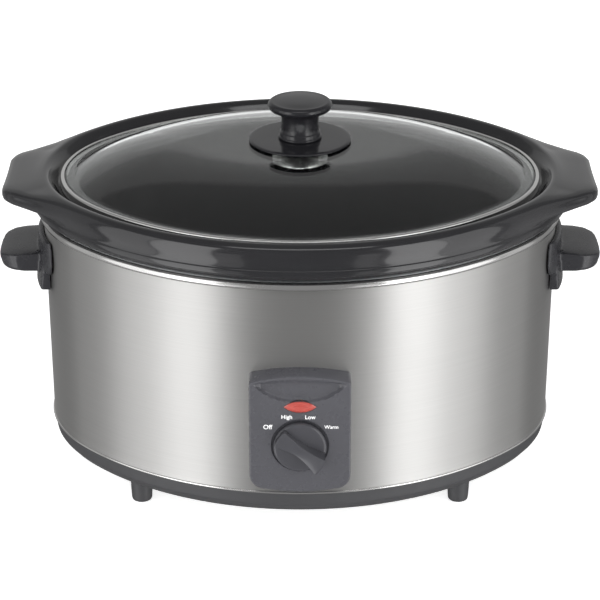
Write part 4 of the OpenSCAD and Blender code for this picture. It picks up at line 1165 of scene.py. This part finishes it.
def makeDial():
    d = dial
    r, thick, half = d["radius"], d["disc"], d["half"]
    turn = math.radians(d["turn"])
    ux, uz = math.cos(turn), math.sin(turn)

    def place(p, q, h):
        # p along the pointer, q across it, h towards the viewer
        return p * ux - q * uz, dialHigh[1] - h, dialZ + p * uz + q * ux

    def gripWidth(u, v):
        p = (2 * u - 1) * half  # tail to nose
        edge = math.sqrt(max(0, (r - 0.5) ** 2 - p * p))
        wide = min(d["waist"] + d["flare"] * (abs(p) / half) ** 1.7, max(edge, 2.2))
        return p, abs(p) / half, (2 * v - 1) * wide

    def gripTop(u, v):
        p, waist, q = gripWidth(u, v)
        high = d["nose"] + (d["tail"] - d["nose"]) * (1 - u) ** 1.25 - d["sag"] * math.sin(math.pi * u) ** 2
        crown = 0.5 * (2 * v - 1) ** 2 * (1 if waist < 0.9 else 0.5)
        return place(p, q, thick + high - crown)

    def gripFoot(u, v):
        p, waist, q = gripWidth(u, v)
        return place(p, q * (1.35 - 0.35 * waist), 2.6)

    disc = [(0, 0), (r - 0.3, 0), (r, 0.4), (r, 3.0), (r - 0.4, 3.9), (r - 1.3, 4.5), (r - 2.4, thick),
            (0, thick + 0.3)]
    piece = addPiece("dialKnob", *pooled([turned(disc, d["sides"], place), slab(60, 12, gripTop, gripFoot)]))
    edge = piece.modifiers.new("edge", "BEVEL")
    edge.width, edge.segments, edge.angle_limit = d["bevel"] * mm, 3, math.radians(40)
    bake(piece)
    smoothen(piece, 50)
    finish(piece, "dial", "dial_plastic", "control_dial")


makePanel()
makeLens()
makeWords()
makeDial()
print("panel and dial made")


glandLow, glandHigh = boxOf("cord_gland")
gland = {"bore": 3.6, "groove": 0.8, "sides": 72}


def makeGland():
    g = gland
    long, outer = glandHigh[1] - glandLow[1], (glandHigh[0] - glandLow[0]) / 2
    bore, neck = g["bore"], outer - g["groove"]
    profile = [(bore, 0), (neck - 0.1, 0), (neck, 0.3), (neck, long - 3.5)]
    profile += shifted(outer, long, [(-0.2, -3.35), (0, -3.0), (0, -1.2), (-0.4, -0.7), (-1.6, -0.2)])
    profile += shifted(bore, long, [(0.7, 0), (0.1, -0.4), (0, -1.0), (0, -long)])
    centre = (0, glandLow[1], (glandLow[2] + glandHigh[2]) / 2)
    piece = lathe("glandBush", profile, centre, g["sides"], lying=True)
    finish(piece, "base", "pad_rubber", "cord_gland")


makeGland()
print("gland made")


studio = {  # metres and degrees
    "floor": 0.90, "glow": 0.72, "floorWide": 14, "world": 0.27,
    "camera": {"distance": 1.70446, "pitch": 24.306, "height": 0.11848, "lens": 140.57},
    "reach": 1.9, "low": -1.7, "sunWide": 35,
    # upright soft boxes: turn from the front, width, lower and upper edge, brightness
    "boxes": [
        ("leftBox", -44, 0.80, -1.7, 1.6, 2.0), ("leftFill", -68, 0.72, -1.7, 1.6, 0.95),
        ("leftEdge", -92, 0.6, -1.7, 1.6, 0.22), ("leftInner", -26, 0.30, -1.7, 0.35, 0.45),
        ("rightInner", 25, 0.28, -1.7, 0.35, 0.5), ("rightBox", 44, 0.74, -1.7, 1.6, 2.3),
        ("rightFill", 67, 0.76, -1.7, 1.6, 1.1), ("rightEdge", 92, 0.6, -1.7, 1.6, 0.3),
        ("backBox", 180, 4.2, 0.05, 1.3, 0.24), ("backHigh", 180, 4.2, 1.3, 2.5, 0.14)],
    "suns": [("leftSun", -50, 52, 0.45), ("rightSun", 50, 52, 0.42)],
    # place, size, power, and whether it shows in reflections
    "panels": [("frontKey", (0, -1.0, 1.95), (1.5, 0.30), 3, True),
               ("frontFill", (0, -2.1, 0.75), (1.6, 0.8), 24, False)],
}


def aim(name, light, place, target, shows=True):
    lamp = bpy.data.objects.new(name, light)
    lamp.location = place
    lamp.rotation_euler = (Vector(target) - Vector(place)).to_track_quat("-Z", "Y").to_euler()
    lamp.visible_glossy = shows
    bpy.context.scene.collection.objects.link(lamp)


def areaLight(name, wide, tall, power):
    light = bpy.data.lights.new(name, "AREA")
    light.shape, light.size, light.size_y, light.energy = "RECTANGLE", wide, tall, power
    return light


def makeFloor():
    bpy.ops.mesh.primitive_plane_add(size=studio["floorWide"], location=(0, 0, 0))
    floor = bpy.context.object
    floor.name = "paleFloor"
    material = bpy.data.materials.new("paleFloor")
    material.use_nodes = True
    shader = material.node_tree.nodes["Principled BSDF"]
    shader.inputs["Base Color"].default_value = (studio["floor"],) * 3 + (1,)
    shader.inputs["Roughness"].default_value = 0.9
    shader.inputs["Specular IOR Level"].default_value = 0.1
    shader.inputs["Emission Color"].default_value = (1, 1, 1, 1)
    shader.inputs["Emission Strength"].default_value = studio["glow"]
    floor.data.materials.append(material)
    floor.visible_glossy = False  # the table shows in no reflection


def makeLights():
    s = studio
    world = bpy.data.worlds.new("softStudio")
    world.use_nodes = True
    world.node_tree.nodes["Background"].inputs["Color"].default_value = (1, 1, 1, 1)
    world.node_tree.nodes["Background"].inputs["Strength"].default_value = s["world"]
    bpy.context.scene.world = world
    for name, turn, wide, low, high, glow in s["boxes"]:
        t, tall, middle = math.radians(turn), high - low, (low + high) / 2
        place = (s["reach"] * math.sin(t), -s["reach"] * math.cos(t), middle)
        aim(name, areaLight(name, wide, tall, glow * math.pi * wide * tall), place, (0, 0, middle))
    for name, turn, rise, strength in s["suns"]:
        light = bpy.data.lights.new(name, "SUN")
        light.energy, light.angle = strength, math.radians(s["sunWide"])
        t, e = math.radians(turn), math.radians(rise)
        place = (3 * math.sin(t) * math.cos(e), -3 * math.cos(t) * math.cos(e), 3 * math.sin(e))
        aim(name, light, place, (0, 0, 0), False)
    for name, place, size, power, shows in s["panels"]:
        aim(name, areaLight(name, *size, power), place, (0, 0, 0.15), shows)


def makeCamera():
    c = studio["camera"]
    camera = bpy.data.cameras.new("camera")
    camera.lens, camera.sensor_width = c["lens"], 36
    camera.clip_start, camera.clip_end = 0.05, 60
    eye = bpy.data.objects.new("camera", camera)
    pitch = math.radians(c["pitch"])
    back, rise = c["distance"] * math.cos(pitch), c["distance"] * math.sin(pitch)
    eye.location = (0, midY * mm - back, c["height"] + rise)
    eye.rotation_euler = (math.pi / 2 - pitch, 0, 0)
    bpy.context.scene.collection.objects.link(eye)
    bpy.context.scene.camera = eye


makeFloor()
makeLights()
makeCamera()
bpy.context.scene.view_settings.view_transform = "Standard"
print("studio ready")
